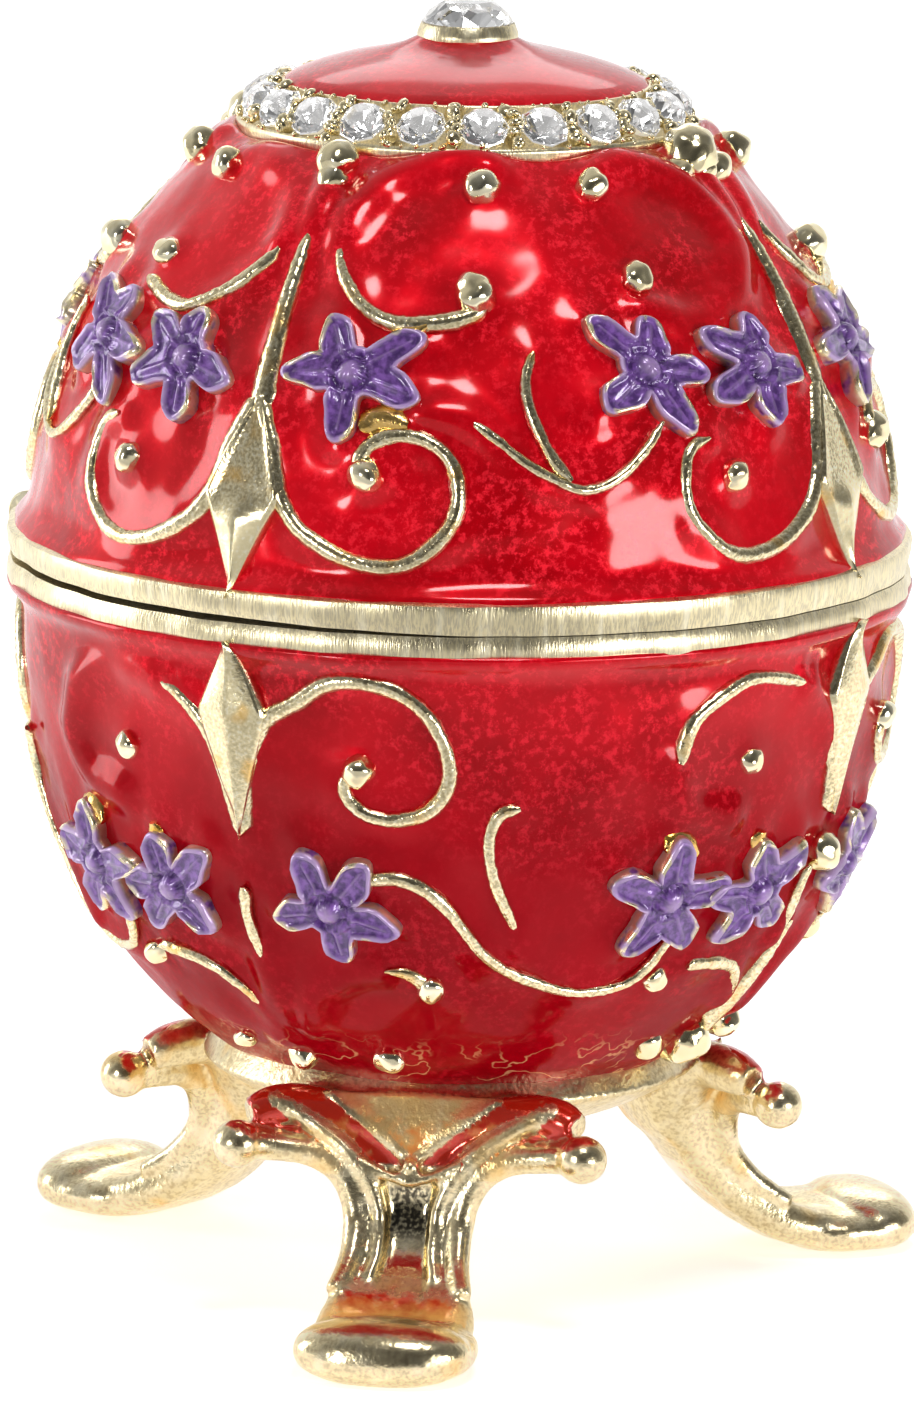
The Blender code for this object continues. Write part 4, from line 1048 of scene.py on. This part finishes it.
def flower(wall, turn, across, up, tips, seed):
    """Points, faces and paint values of one flower."""
    columns, rows = 110, 15
    angle = np.arange(columns) * math.tau / columns
    reach = petal_reach(angle, tips, 1.2, seed)
    reach = (np.roll(reach, 1) + 2 * reach + np.roll(reach, -1)) / 4
    outline = np.stack([reach * np.cos(angle), reach * np.sin(angle)], -1)
    share = np.linspace(0, 1, rows)[1:, None] ** 0.85
    spots = np.concatenate([[[0.0, 0.0]], (outline[None] * share[..., None]).reshape(-1, 2)])
    fine = np.concatenate([outline + (np.roll(outline, -1, 0) - outline) * t for t in (0, 0.5)])
    edge = np.sqrt(((spots[:, None] - fine[None]) ** 2).sum(-1)).min(1)
    r = np.hypot(spots[:, 0], spots[:, 1])
    crease = np.zeros(len(spots))
    for x, y in tips:
        length = math.hypot(x, y)
        ahead = (spots[:, 0] * x + spots[:, 1] * y) / length
        aside = np.abs(spots[:, 0] * y - spots[:, 1] * x) / length
        crease = np.maximum(crease, np.exp(-(aside / 0.10) ** 2) * (ahead > 0.9) * (ahead < 0.85 * length))
    rim = np.exp(-((edge - 0.05) / 0.13) ** 2)
    ring = np.exp(-((r - 0.98) / 0.13) ** 2) - 0.8 * np.exp(-((r - 0.74) / 0.09) ** 2)
    eye = np.clip(1 - (r / 0.62) ** 2, 0, 1)
    waves = np.sin(2.0 * np.arctan2(spots[:, 1], spots[:, 0]) + seed) * np.clip(r / 3, 0, 1)
    height = (0.72 + 0.34 * rim * np.clip((r - 0.9) / 0.4, 0, 1) + 0.12 * crease + 0.16 * ring
              + 0.50 * np.sqrt(eye) + 0.13 * waves)
    height = np.where(edge < 0.03, 0.80, height)
    worn = (edge < 0.14) * (r > 1.7) * (np.sin(spots[:, 0] * 2 + seed) > 0.1)
    pale = np.maximum(rim * 0.95, np.maximum(eye * 0.6, crease * 0.4))
    spots = np.concatenate([spots, outline * 1.015, outline * 1.04])
    skirt = np.ones(columns)
    height = np.concatenate([height, 0.62 * skirt, -0.35 * skirt])
    values = {"rim": np.concatenate([pale, 0 * skirt, 0 * skirt]),
              "bare": np.concatenate([worn, 0.75 * skirt, 0.3 * skirt])}
    points = wall.at(turn, (across + spots[:, 0]) * MM, (up + spots[:, 1]) * MM, height * MM)
    faces = grid_faces(rows + 1, columns, first=1)
    faces += [(0, 1 + j, 1 + (j + 1) % columns) for j in range(columns)]
    faces.append([1 + rows * columns + j for j in range(columns)])
    return points, faces, values


for body, (wall, _, flowers, _) in HALVES.items():
    made = merged(body + "_flowers", [flower(wall, quarter, across, up, petals(tips, wall), 3.0 * q + k)
                                      for q, quarter in enumerate(QUARTERS)
                                      for k, (across, up, tips) in enumerate(flowers)], PAINT)
    keep(made, body, "enamelled_shell")

# %% [markdown]
# ## The ring of stones
# Twenty-one stones sit in the channel. Each is a round cut: a flat table, a belt of kites and
# triangles down to the widest part, and a pointed back in a silver cup. One stone is built
# flat, and a tree copies it to the places round the channel, because they are all alike.

# %% Cut stone
STONE_COUNT = 21


def ring(r, z, shift, count):
    angles = [(k + shift) * math.tau / count for k in range(count)]
    return [(r * math.cos(angle), r * math.sin(angle), z) for angle in angles]


def cut_stone(radius, crown, table, depth, sides=8):
    """Points and faces of a round cut whose widest part is at height 0."""
    points = (ring(radius * table, crown, 0, sides) + ring(radius * 0.84, crown * 0.52, 0.5, sides)
              + ring(radius, 0, 0, sides * 2) + ring(radius, -0.08 * radius, 0, sides * 2) + [(0, 0, -depth)])
    t, m, g, b, tip = 0, sides, 2 * sides, 4 * sides, 6 * sides
    faces = [tuple(range(t, t + sides))]
    for k in range(sides):
        after = (k + 1) % sides
        faces += [(t + k, m + k, t + after),
                  (t + after, m + k, g + (2 * k + 2) % (2 * sides), m + after),
                  (m + k, g + 2 * k, g + 2 * k + 1),
                  (m + k, g + 2 * k + 1, g + (2 * k + 2) % (2 * sides))]
    for k in range(2 * sides):
        after = (k + 1) % (2 * sides)
        faces += [(g + k, b + k, b + after, g + after), (b + k, tip, b + after)]
    return np.array(points), faces


def stone_tree():
    given, add = tree_with("set_stones", Stone="Object", Finish="Material")
    stone = add("GeometryNodeObjectInfo", None, {"Object": given["Stone"]})
    facing = add("FunctionNodeAxesToRotation", {"primary_axis": "Z", "secondary_axis": "X"}, {
        "Primary Axis": stored(add, "outward", "FLOAT_VECTOR"),
        "Secondary Axis": stored(add, "across", "FLOAT_VECTOR")})
    points = add("GeometryNodeMeshToPoints", None, {"Mesh": given["Geometry"]})
    placed = add("GeometryNodeInstanceOnPoints", None, {
        "Points": points.outputs[0], "Instance": stone.outputs["Geometry"], "Rotation": facing.outputs[0]})
    return finish_tree(given, add, placed.outputs[0])


STONES = stone_tree()


def channel_spots(name, lift):
    """Points round the middle of the channel with their outward and sideways directions."""
    out = -into
    points, outward, across = [], [], []
    for k in range(STONE_COUNT):
        turn = (k + 0.5) * math.tau / STONE_COUNT
        c, s = math.cos(turn), math.sin(turn)
        points.append(round_axis(*((CHANNEL_HIGH + CHANNEL_LOW) / 2 + out * lift), turn))
        wobble = 0.05 * math.sin(5.1 * k)
        outward.append((Vector((out[0] * c, out[0] * s, out[1])) + Vector((-s, c, 0)) * wobble).normalized())
        across.append((-s, c, 0.0))
    return source_from(name, points, outward=outward, across=across)


def set_round(name, shape, finish, lift):
    """Copies a flat-built shape to every setting of the channel."""
    master = piece_from(name + "_master", *shape, finish, smooth=False)
    made = grown(name, channel_spots(name + "_spots", lift), STONES, Stone=master, Finish=finish)
    bpy.data.objects.remove(master)
    made.data.shade_flat()
    return made


def cup(radius, depth, sides=8):
    """A closed faceted cup, a little bigger than the back of the stone that lies in it."""
    rings = [(radius, 0.0), (radius * 0.55, -depth * 0.62), (radius * 0.62, -depth * 0.80),
             (radius * 1.05, -0.06 * MM)]
    points = [point for r, z in rings for point in ring(r, z, 0, sides)]
    points += [(0, 0, -depth), (0, 0, -depth * 1.1)]
    last = len(rings) * sides
    faces = grid_faces(len(rings), sides, closed_rows=False)
    faces = [f for f in faces if not (sides <= f[0] < 2 * sides)]
    faces += [(sides + k, sides + (k + 1) % sides, last) for k in range(sides)]
    faces += [(2 * sides + k, 2 * sides + (k + 1) % sides, last + 1) for k in range(sides)]
    faces += [(3 * sides + k, 3 * sides + (k + 1) % sides, (k + 1) % sides, k) for k in range(sides)]
    return np.array(points), faces


stones = set_round("ring_stones", cut_stone(1.08 * MM, 0.58 * MM, 0.56, 0.62 * MM), CRYSTAL, 0.0)
keep(stones, "lid", "crystal", *[f"ring_crystal_{k + 1:02d}" for k in range(STONE_COUNT)])
foils = set_round("stone_foils", cup(1.12 * MM, 0.68 * MM), GLOWING_FOIL, -0.02 * MM)
keep(foils, "lid", "crystal")

# %% [markdown]
# The crown stone is the same cut, larger, in the collar.

# %% Crown stone
def in_collar(points, height):
    return points + AXIS + (0, 0, SEAM + height)


GIRDLE = 24.25 * MM
points, faces = cut_stone(2.12 * MM, 0.97 * MM, 0.55, 1.2 * MM)
crown_stone = piece_from("crown_stone", in_collar(points, GIRDLE), faces, CRYSTAL, smooth=False)
keep(crown_stone, "lid", "crystal", "crown_crystal")
points, faces = cup(1.92 * MM, 1.12 * MM)
crown_foil = piece_from("crown_foil", in_collar(points, GIRDLE - 0.14 * MM), faces, GLOWING_FOIL, smooth=False)
keep(crown_foil, "lid", "crystal")

# %% [markdown]
# ## Grains between the stones
# The setter's solder and the beaded edge leave small gold grains between the stones and along
# both rims. They are balls on random spots of a ring, and the bead tree makes them too.

# %% Channel grains
def grain_source(name):
    """Grains in the gaps between the stones, and smaller ones along the rims."""
    points, sizes = [], []
    pull = np.random.default_rng(12)
    for k in range(STONE_COUNT):
        for n in range(7):
            turn = (k + pull.normal(0, 0.04)) * math.tau / STONE_COUNT
            share = (n + 0.5) / 7 + pull.normal(0, 0.03)
            spot = CHANNEL_HIGH + (CHANNEL_LOW - CHANNEL_HIGH) * share - into * pull.normal(-0.05, 0.10) * MM
            points.append(round_axis(*spot, turn))
            sizes.append(abs(pull.normal(0.36, 0.06)) * MM)
    for rim, count in ((CHANNEL_HIGH, 60), (CHANNEL_LOW, 80)):
        for n in range(count):
            turn = (n + pull.normal(0, 0.4)) * math.tau / count
            points.append(round_axis(*(rim + pull.normal(0, 0.03, 2) * MM), turn))
            sizes.append(abs(pull.normal(0.10, 0.03)) * MM)
    return source_from(name, points, size=sizes)


grains = grown("channel_grains", grain_source("grain_spots"), BEADS, Seed=9, Squash=0.6, Fineness=2,
               Grain=3.0, Roughen=0.1 * MM, Finish=PEBBLED)
keep(grains, "lid", "gilt_casting")

# %% [markdown]
# ## The hinge
# Three knuckles on a pin, behind the egg. The knuckles are short tubes with rounded ends, on
# tabs that grow out of the bands. The pin is the solid model's own, with a better finish.

# %% Knuckles
def knuckle(x, length, side):
    """A tube on the hinge's axis with a tab to its band: side 1 for the lid and -1 for the base."""
    columns = 32
    outer, bore, soft = 1.05 * MM, 0.5 * MM, 0.12 * MM
    half = length / 2
    profile = [(bore, -half), (outer - soft, -half), (outer, -half + soft), (outer, half - soft),
               (outer - soft, half), (bore, half)]
    angle = np.arange(columns) * math.tau / columns
    points = np.array([[(pin_middle.x + x + z, pin_middle.y + r * math.cos(a), pin_middle.z + r * math.sin(a))
                        for a in angle] for r, z in profile])
    tube = (points, grid_faces(len(profile), columns, closed_rows=True), {})
    near, far = BAND_RADIUS - 1.0 * MM - HINGE_REACH, -0.55 * MM
    low, high = sorted((side * 0.3 * MM, side * 1.0 * MM))
    corners = [(pin_middle.x + x + sx * half * 0.98, pin_middle.y + y, pin_middle.z + z)
               for sx in (-1, 1) for y in (near, far) for z in (low, high)]
    box = [(0, 1, 3, 2), (4, 6, 7, 5), (0, 4, 5, 1), (2, 3, 7, 6), (0, 2, 6, 4), (1, 5, 7, 3)]
    return [tube, (corners, box, {})]


lid_knuckle = merged("lid_knuckle", knuckle(0, 2.0 * MM, 1), POLISHED)
keep(lid_knuckle, "lid", "gilt_casting")
outer_knuckles = knuckle(-2.15 * MM, 1.7 * MM, -1) + knuckle(2.15 * MM, 1.7 * MM, -1)
base_knuckles = merged("base_knuckles", outer_knuckles, POLISHED)
keep(base_knuckles, "base", "gilt_casting")
for made in (lid_knuckle, base_knuckles):
    made.data.set_sharp_from_angle(angle=math.radians(40))
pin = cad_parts["hinge_pin"]
for holder in pin.material_slots:
    holder.material = POLISHED

# %% [markdown]
# ## The stand
# The stand is one casting: a bowl and three legs. A leg starts as a bracket with two arms that
# end in knobs, narrows to a column of two rolls beside a flat panel, and sweeps out to an oval
# foot. Building such a form with clean faces by hand takes long, but its parts are simple, so
# they are pushed into each other and remeshed into one skin, as the wax for the casting was
# once joined and smoothed. The bracket's lines are measured on the photograph.

# %% Leg measures
STAND_TURN = math.radians(-8.5)
LEGS = [math.pi / 2 + STAND_TURN + k * math.tau / 3 for k in range(3)]
FRONT_LEG = 1
# reach and depth under the seam of the front, the same of the back, and half the width, in mm
COLUMN = [
    (11.4, 22.7, 9.4, 24.0, 5.4), (12.1, 24.4, 8.6, 25.4, 4.2), (12.5, 26.1, 9.3, 27.0, 3.05),
    (12.8, 27.8, 10.5, 28.3, 2.65), (13.6, 29.2, 11.7, 29.9, 2.65), (15.0, 30.4, 13.4, 31.5, 2.97),
    (17.0, 31.4, 15.7, 32.9, 3.55), (19.4, 31.8, 18.4, 33.3, 3.45),
]
FURROW = [0, 0, 0.25, 0.5, 0.5, 0.42, 0.2, 0]
# half of the column's section: share of its half width, share of its depth, and is it furrowed?
SECTION = [(0.16, 1, 1), (0.34, 1, 1), (0.40, 0.04, 0), (0.50, 0.05, 0), (0.60, 0.16, 1), (0.70, 0, 0),
           (0.82, 0.02, 0), (0.93, 0.15, 0), (1.0, 0.40, 0), (0.98, 0.72, 0), (0.80, 1, 0)]


def leg_place(turn, reach, aside, depth):
    """Metres in the frame for a place in a leg's own measures, in metres."""
    c, s = math.cos(turn), math.sin(turn)
    return AXIS + np.stack([reach * c - aside * s, reach * s + aside * c, SEAM - depth], -1)


def spline(stations, count):
    """Smoothly spaced rows between the given stations."""
    ends = with_ends(np.array(stations, float))
    steps = np.linspace(0, len(stations) - 1 - 1e-9, count)
    return np.array([curve_between(*ends[int(x):int(x) + 4], x - int(x)) for x in steps])


# %% [markdown]
# A leg is a column, round bars for its rolls, ridges and webs, and rounded blobs for its knobs,
# its stud and its foot. Only one side is measured, and the other is its mirror image.

# %% Leg parts
def leg_column(turn):
    """The bracket and column: two rolls beside a sunk panel, closed at both ends."""
    rows = spline([(*c, f) for c, f in zip(COLUMN, FURROW)], 40)
    mirror = [(-share, deep, furrowed) for share, deep, furrowed in SECTION[::-1]]
    aside, deep, furrowed = np.array(mirror + SECTION + [(0.3, 1.1, 0), (-0.3, 1.1, 0)]).T
    points = []
    for fr, fz, br, bz, half, furrow in rows:
        thick = math.hypot(fr - br, fz - bz)
        into_leg = np.where(furrowed > 0, furrow / thick * deep, deep)
        reach, depth = fr + (br - fr) * into_leg, fz + (bz - fz) * into_leg
        points.append(leg_place(turn, reach * MM, aside * half * MM, depth * MM))
    columns = len(aside)
    faces = grid_faces(len(rows), columns)
    faces += [list(range(columns)), list(range((len(rows) - 1) * columns, len(rows) * columns))]
    return np.array(points), faces, {}


def bar(turn, stations, side, count=26, sides=12):
    """A round bar through (reach, aside, depth, radius) stations in mm."""
    rows = spline(stations, count)
    centre = leg_place(turn, rows[:, 0] * MM, side * rows[:, 1] * MM, rows[:, 2] * MM)
    ahead = np.gradient(centre, axis=0)
    ahead /= np.linalg.norm(ahead, axis=1, keepdims=True)
    one = np.cross(ahead, (0, 0, 1.0))
    one /= np.linalg.norm(one, axis=1, keepdims=True)
    two = np.cross(ahead, one)
    angle = (np.arange(sides) * math.tau / sides)[None, :, None]
    radius = rows[:, 3][:, None, None] * MM
    points = centre[:, None] + radius * (np.cos(angle) * one[:, None] + np.sin(angle) * two[:, None])
    faces = grid_faces(count, sides)
    faces += [list(range(sides)), list(range((count - 1) * sides, count * sides))]
    return points, faces, {}


def blob(turn, centre, radii, power=2.0):
    """An ellipsoid, or with a higher power a pad with flatter sides, in a leg's measures (mm)."""
    rows, columns = 18, 28
    lat = np.linspace(-math.pi / 2, math.pi / 2, rows)[1:-1, None]
    lon = (np.arange(columns) * math.tau / columns)[None, :]

    def bend(x):
        return np.sign(x) * np.abs(x) ** (2 / power)

    x = bend(np.cos(lat)) * bend(np.cos(lon)) * radii[0]
    y = bend(np.cos(lat)) * bend(np.sin(lon)) * radii[1]
    z = bend(np.sin(lat)) * radii[2] + 0 * lon
    body = leg_place(turn, (centre[0] + x) * MM, (centre[1] + y) * MM, (centre[2] - z) * MM).reshape(-1, 3)
    ends = [leg_place(turn, centre[0] * MM, centre[1] * MM, (centre[2] + s * radii[2]) * MM) for s in (1, -1)]
    count = rows - 2
    faces = grid_faces(count, columns)
    faces += [(count * columns, (j + 1) % columns, j) for j in range(columns)]
    last = (count - 1) * columns
    faces += [(count * columns + 1, last + j, last + (j + 1) % columns) for j in range(columns)]
    return np.concatenate([body, ends]), faces, {}


ROLL = [(12.8, 7.7, 25.0, 0.85), (12.45, 5.9, 25.25, 0.66), (12.35, 4.5, 25.45, 0.66),
        (12.4, 3.3, 26.1, 0.68), (12.6, 2.6, 27.2, 0.66), (13.0, 2.35, 28.5, 0.62),
        (14.2, 2.45, 29.9, 0.55), (15.8, 2.9, 31.0, 0.45)]
RIDGE = [(12.0, 6.2, 23.2, 0.30), (12.2, 4.4, 24.2, 0.42), (12.5, 3.0, 25.2, 0.46),
         (12.75, 1.95, 26.4, 0.44), (12.95, 1.4, 27.5, 0.38), (13.3, 1.25, 28.6, 0.35),
         (14.0, 1.25, 29.6, 0.32), (15.0, 1.5, 30.5, 0.22)]
NOTCH_EDGE = [(12.75, 2.1, 25.7, 0.26), (12.85, 1.2, 26.15, 0.26), (12.95, 0.0, 26.5, 0.28)]
INNER_V = [(11.75, 3.9, 22.7, 0.13), (12.1, 1.5, 24.5, 0.15), (12.35, 0.0, 25.75, 0.16)]
WEB = [(11.2, 0.6, 24.9, 1.05), (11.1, 2.6, 24.2, 1.1), (11.1, 4.8, 23.7, 1.1), (11.4, 6.4, 23.7, 1.05),
       (11.9, 7.4, 24.0, 0.8)]
KNOB, STUD = (13.0, 7.8, 25.05), (12.75, 0, 25.85)


def leg_parts(turn):
    parts = [leg_column(turn), blob(turn, (19.4, 0, 32.6), (3.5, 4.1, 1.15), 2.6),
             blob(turn, (20.6, 0, 32.4), (2.2, 4.0, 1.5), 2.3), blob(turn, STUD, (0.36, 0.40, 0.42))]
    for side in (-1, 1):
        parts += [bar(turn, line, side) for line in (ROLL, RIDGE, NOTCH_EDGE, INNER_V, WEB)]
        parts.append(blob(turn, (KNOB[0], side * KNOB[1], KNOB[2]), (1.12, 1.15, 1.1)))
    return parts


def bowl_part():
    """The bowl round the egg's foot, a closed turned wall with a floor."""
    inner = wall_profile(BASE, 22.25 * MM, 24.44 * MM, 8, 0.6 * MM)
    outer = wall_profile(BASE, 22.3 * MM, 24.44 * MM, 8, -1.2 * MM)
    floor = inner[-1][1] - 0.3 * MM
    profile = ([(0.01 * MM, floor), (inner[-1][0], floor), *inner[::-1], *outer, (outer[-1][0], floor - MM),
                (0.01 * MM, floor - MM)])
    r, h = np.array(profile).T[:, :, None]
    points = round_axis(r, h, (np.arange(96) * math.tau / 96)[None, :])
    return points, grid_faces(len(profile), 96, closed_rows=True), {}


# %% [markdown]
# The parts become one skin with a Voxel Remesh. Then the skin is made grainy where the real
# casting is, and values are stored for its finish: where red and orange glaze was left in
# the hollows of the arms and above the foot, how polished a place is, and where the sunk
# panel of each column is painted near black as a painted dark reflection.

# %% Stand skin
def gold_lines():
    """A search tree of the raised lines of half a leg (reach, aside, depth) and their radii."""
    rows = np.concatenate([spline(line, 40) for line in (ROLL, RIDGE, NOTCH_EDGE, INNER_V)])
    rows = np.concatenate([rows, [(*KNOB, 1.25), (*STUD, 0.4)]])
    return search_tree(rows[:, :3]), rows[:, 3]


def stand_values(co, normals):
    """Glaze, warmth, polish and painted dark reflection of each point of the stand, from its place on its
    leg.
    """
    glaze, warm, polish, painted_dark_reflection = (np.zeros(len(co)) for _ in range(4))
    near, radii = gold_lines()
    roll_aside, roll_low = np.array(ROLL[5::-1])[:, 1:3].T
    for leg, turn in enumerate(LEGS):
        c, s = math.cos(turn), math.sin(turn)
        x, y = (co[:, 0] - AXIS[0]) / MM, (co[:, 1] - AXIS[1]) / MM
        reach, aside, depth = x * c + y * s, np.abs(-x * s + y * c), (SEAM - co[:, 2]) / MM
        ahead = np.clip((normals[:, 0] * c + normals[:, 1] * s + 0.8 * normals[:, 2] - 0.35) / 0.3, 0, 1)
        front = (reach > 10.8) & (aside < 9) & (depth > 22.0)
        bare = np.ones(len(co))
        for k in np.nonzero(front & (depth < 28) & (reach < 14.5))[0]:
            _, index, distance = near.find((reach[k], aside[k], depth[k]))
            bare[k] = distance - radii[index]
        hollow = front & (reach > 11.2) & (reach < 14) & (depth < 26.3)
        filled = np.clip((bare - 0.02) / 0.14, 0, 1) * hollow * ahead
        roll_depth = np.interp(aside, roll_aside, roll_low) - 0.4
        under_roll = np.clip((np.minimum(roll_depth, 26.0) - depth) / 0.3, 0, 1)
        inside_v = np.clip((25.9 - 0.82 * aside - depth) / 0.3, 0, 1) * (aside < 4.2)
        from_rim = np.clip((depth - 22.8) / 2.8, 0, 1)
        filled *= 1 - inside_v * (1 - from_rim) * 0.9
        glaze = np.maximum(glaze, filled * under_roll)
        middle = np.exp(-((aside - 4.0) / 1.3) ** 2) * 0.75 * np.clip((depth - 23.6) / 0.8, 0, 1)
        warm = np.maximum(warm, np.maximum(inside_v * (1.1 - 0.4 * from_rim), middle) * hollow)
        foot = front & (leg == FRONT_LEG) & (aside < 3.3) & (reach > 14.0) & (reach < 18.3) & (depth < 32.6)
        band = np.clip((reach - 14.3 - 0.3 * aside) / 1.6, 0, 1) * np.clip((18.2 - reach) / 0.3, 0, 1) * ahead
        glaze = np.maximum(glaze, np.where(foot, band * np.clip((3.3 - aside) / 1.1, 0, 1), 0))
        warm = np.maximum(warm, np.where(foot, np.clip((reach - 15.4) / 2.0, 0, 1) * (reach < 17.8), 0))
        knob = np.exp(-(((reach - 13) ** 2 + (aside - 7.85) ** 2 + (depth - 25) ** 2) / 2.2))
        pad = front * 0.55 * np.clip(np.maximum(reach - 18.0, depth - 32.0) / 0.8, 0, 1)
        panel = front * (aside < 1.0) * (depth > 26.8) * (depth < 30.2)
        column = front * (aside < 4) * (depth > 26.2) * (depth < 30.5) * 0.4
        polish = np.maximum(polish, np.maximum(np.maximum(knob, column), np.maximum(pad, panel)))
        inner = np.clip((1.05 - aside) / 0.25, 0, 1) * np.clip((29.3 - depth) / 0.6, 0, 1)
        # Painted dark reflection: the sunk panel turns near black where it faces ahead.
        painted_dark_reflection = np.maximum(painted_dark_reflection, panel * ahead * inner)
    return {"glaze": glaze, "warm": warm, "polish": np.clip(polish, 0, 1), "painted_dark_reflection": painted_dark_reflection}


def gilt_stand_finish():
    """Cast gold that is pebbled where it was left rough, with red and orange glaze in the hollows and a
    painted dark reflection on the column panels.
    """
    finish = Finish("gilt_stand", Coat_Roughness=0.08)
    polish, warm = finish.attribute("polish"), finish.attribute("warm")
    pebbles = finish.noise(0.20 * MM, 2.0)
    broad = finish.noise(0.9 * MM, 2.0)
    tone = finish.mix(pebbles.over(0.32, 0.60), (0.58, 0.46, 0.26), (0.80, 0.68, 0.41))
    tone = finish.mix((broad.over(0.45, 0.75) * 0.6 + polish * 0.3).capped(), tone, (0.93, 0.83, 0.58))
    tone = finish.mix(finish.noise(2.2 * MM, 2.0).over(0.55, 0.75) * 0.45, tone, WARM_GOLD)
    tone = finish.mix((warm * 0.9 - broad * 0.5).capped(), tone, (1.0, 0.66, 0.24))
    # Painted dark reflection on the upper panel of each column.
    tone = finish.mix(finish.attribute("painted_dark_reflection") * pebbles.over(0.66, 0.40), tone, (0.10, 0.085, 0.06))
    streaks = finish.noise(0.5 * MM, 3.0)
    glaze = (finish.attribute("glaze") * 1.3 - streaks * 1.4 + 0.25).capped().over(0.0, 0.7)
    worn = (warm * 1.1 + streaks * 1.3 - 0.8).capped()
    red = finish.mix(worn, (0.58, 0.025, 0.008), (1.0, 0.50, 0.12))
    tone = finish.mix(glaze, tone, red)
    rough = (1 - polish) * (1 - glaze)
    metal = 1.0 - glaze * 0.55 - warm * 0.3
    return finish.set(Base_Color=tone, Metallic=metal, Coat_Weight=glaze * 0.7, Roughness=rough * 0.16 + 0.15,
                      Normal=finish.bump(pebbles * (rough * 0.9 + 0.15) + broad * 0.5, 0.03 * MM))


def make_stand():
    parts = [bowl_part()]
    for turn in LEGS:
        parts += leg_parts(turn)
    stand = merged("gilt_stand", parts, gilt_stand_finish())
    skin = stand.modifiers.new("one skin", "REMESH")
    skin.mode = "VOXEL"
    skin.voxel_size = 0.19 * MM
    soften = stand.modifiers.new("soften", "SMOOTH")
    soften.factor, soften.iterations = 0.5, 2
    graph = bpy.context.evaluated_depsgraph_get()
    mesh = bpy.data.meshes.new_from_object(stand.evaluated_get(graph))
    stand.modifiers.clear()
    stand.data = mesh
    co, normals = np.empty((len(mesh.vertices), 3)), np.empty((len(mesh.vertices), 3))
    mesh.vertices.foreach_get("co", co.ravel())
    mesh.vertices.foreach_get("normal", normals.ravel())
    values = stand_values(co, normals)
    push = (1 - values["polish"]) * (1 - values["glaze"]) * 0.022 * MM * lumps(co, 0.45 * MM, 2.0)
    co = co + normals * push[:, None]
    co[:, 2] = np.maximum(co[:, 2], 0.0)
    mesh.vertices.foreach_set("co", co.ravel())
    name_values(mesh, values)
    mesh.shade_smooth()
    return stand


stand = make_stand()
keep(stand, "base", "gilt_casting", "stand")

# %% [markdown]
# ## Floor
# A pale sheet that curves up behind the egg, so that no horizon shows. Towards the camera it is greyed as
# painted shade.

# %% Floor
def paper_finish():
    """White behind the egg and greyer towards the camera, as painted shade that darkens what the egg reflects
    of the floor.
    """
    finish = Finish("white_paper", Roughness=0.9, Emission_Strength=0.5)
    nearer = finish.node("ShaderNodeVectorMath", {"operation": "DOT_PRODUCT"}, {
        0: finish.where, 1: (math.cos(CAMERA_TURN), math.sin(CAMERA_TURN), 0)}).outputs["Value"]
    # Painted shade: base colour and glow both grey towards the camera.
    shade = Term(finish, nearer).over(0.024, 0.062)
    tone = finish.mix(finish.noise(0.03), (0.93, 0.93, 0.93), (0.97, 0.97, 0.97))
    return finish.set(Base_Color=finish.mix(shade, tone, (0.55, 0.55, 0.55)),
                      Emission_Color=finish.mix(shade, (1.0, 1.0, 1.0), (0.14, 0.14, 0.14)))


rows = [(-1.2, 0.0), (0.3, 0.0), (0.42, 0.02), (0.52, 0.08), (0.58, 0.18), (0.60, 0.9)]
behind = np.array([-math.cos(CAMERA_TURN), -math.sin(CAMERA_TURN), 0])
sideways = np.array([behind[1], -behind[0], 0])
points = [AXIS + behind * far + sideways * wide + (0, 0, high) for far, high in rows for wide in (-1.2, 1.2)]
faces = grid_faces(len(rows), 2, closed_columns=False)
floor = piece_from("floor", points, faces, paper_finish())
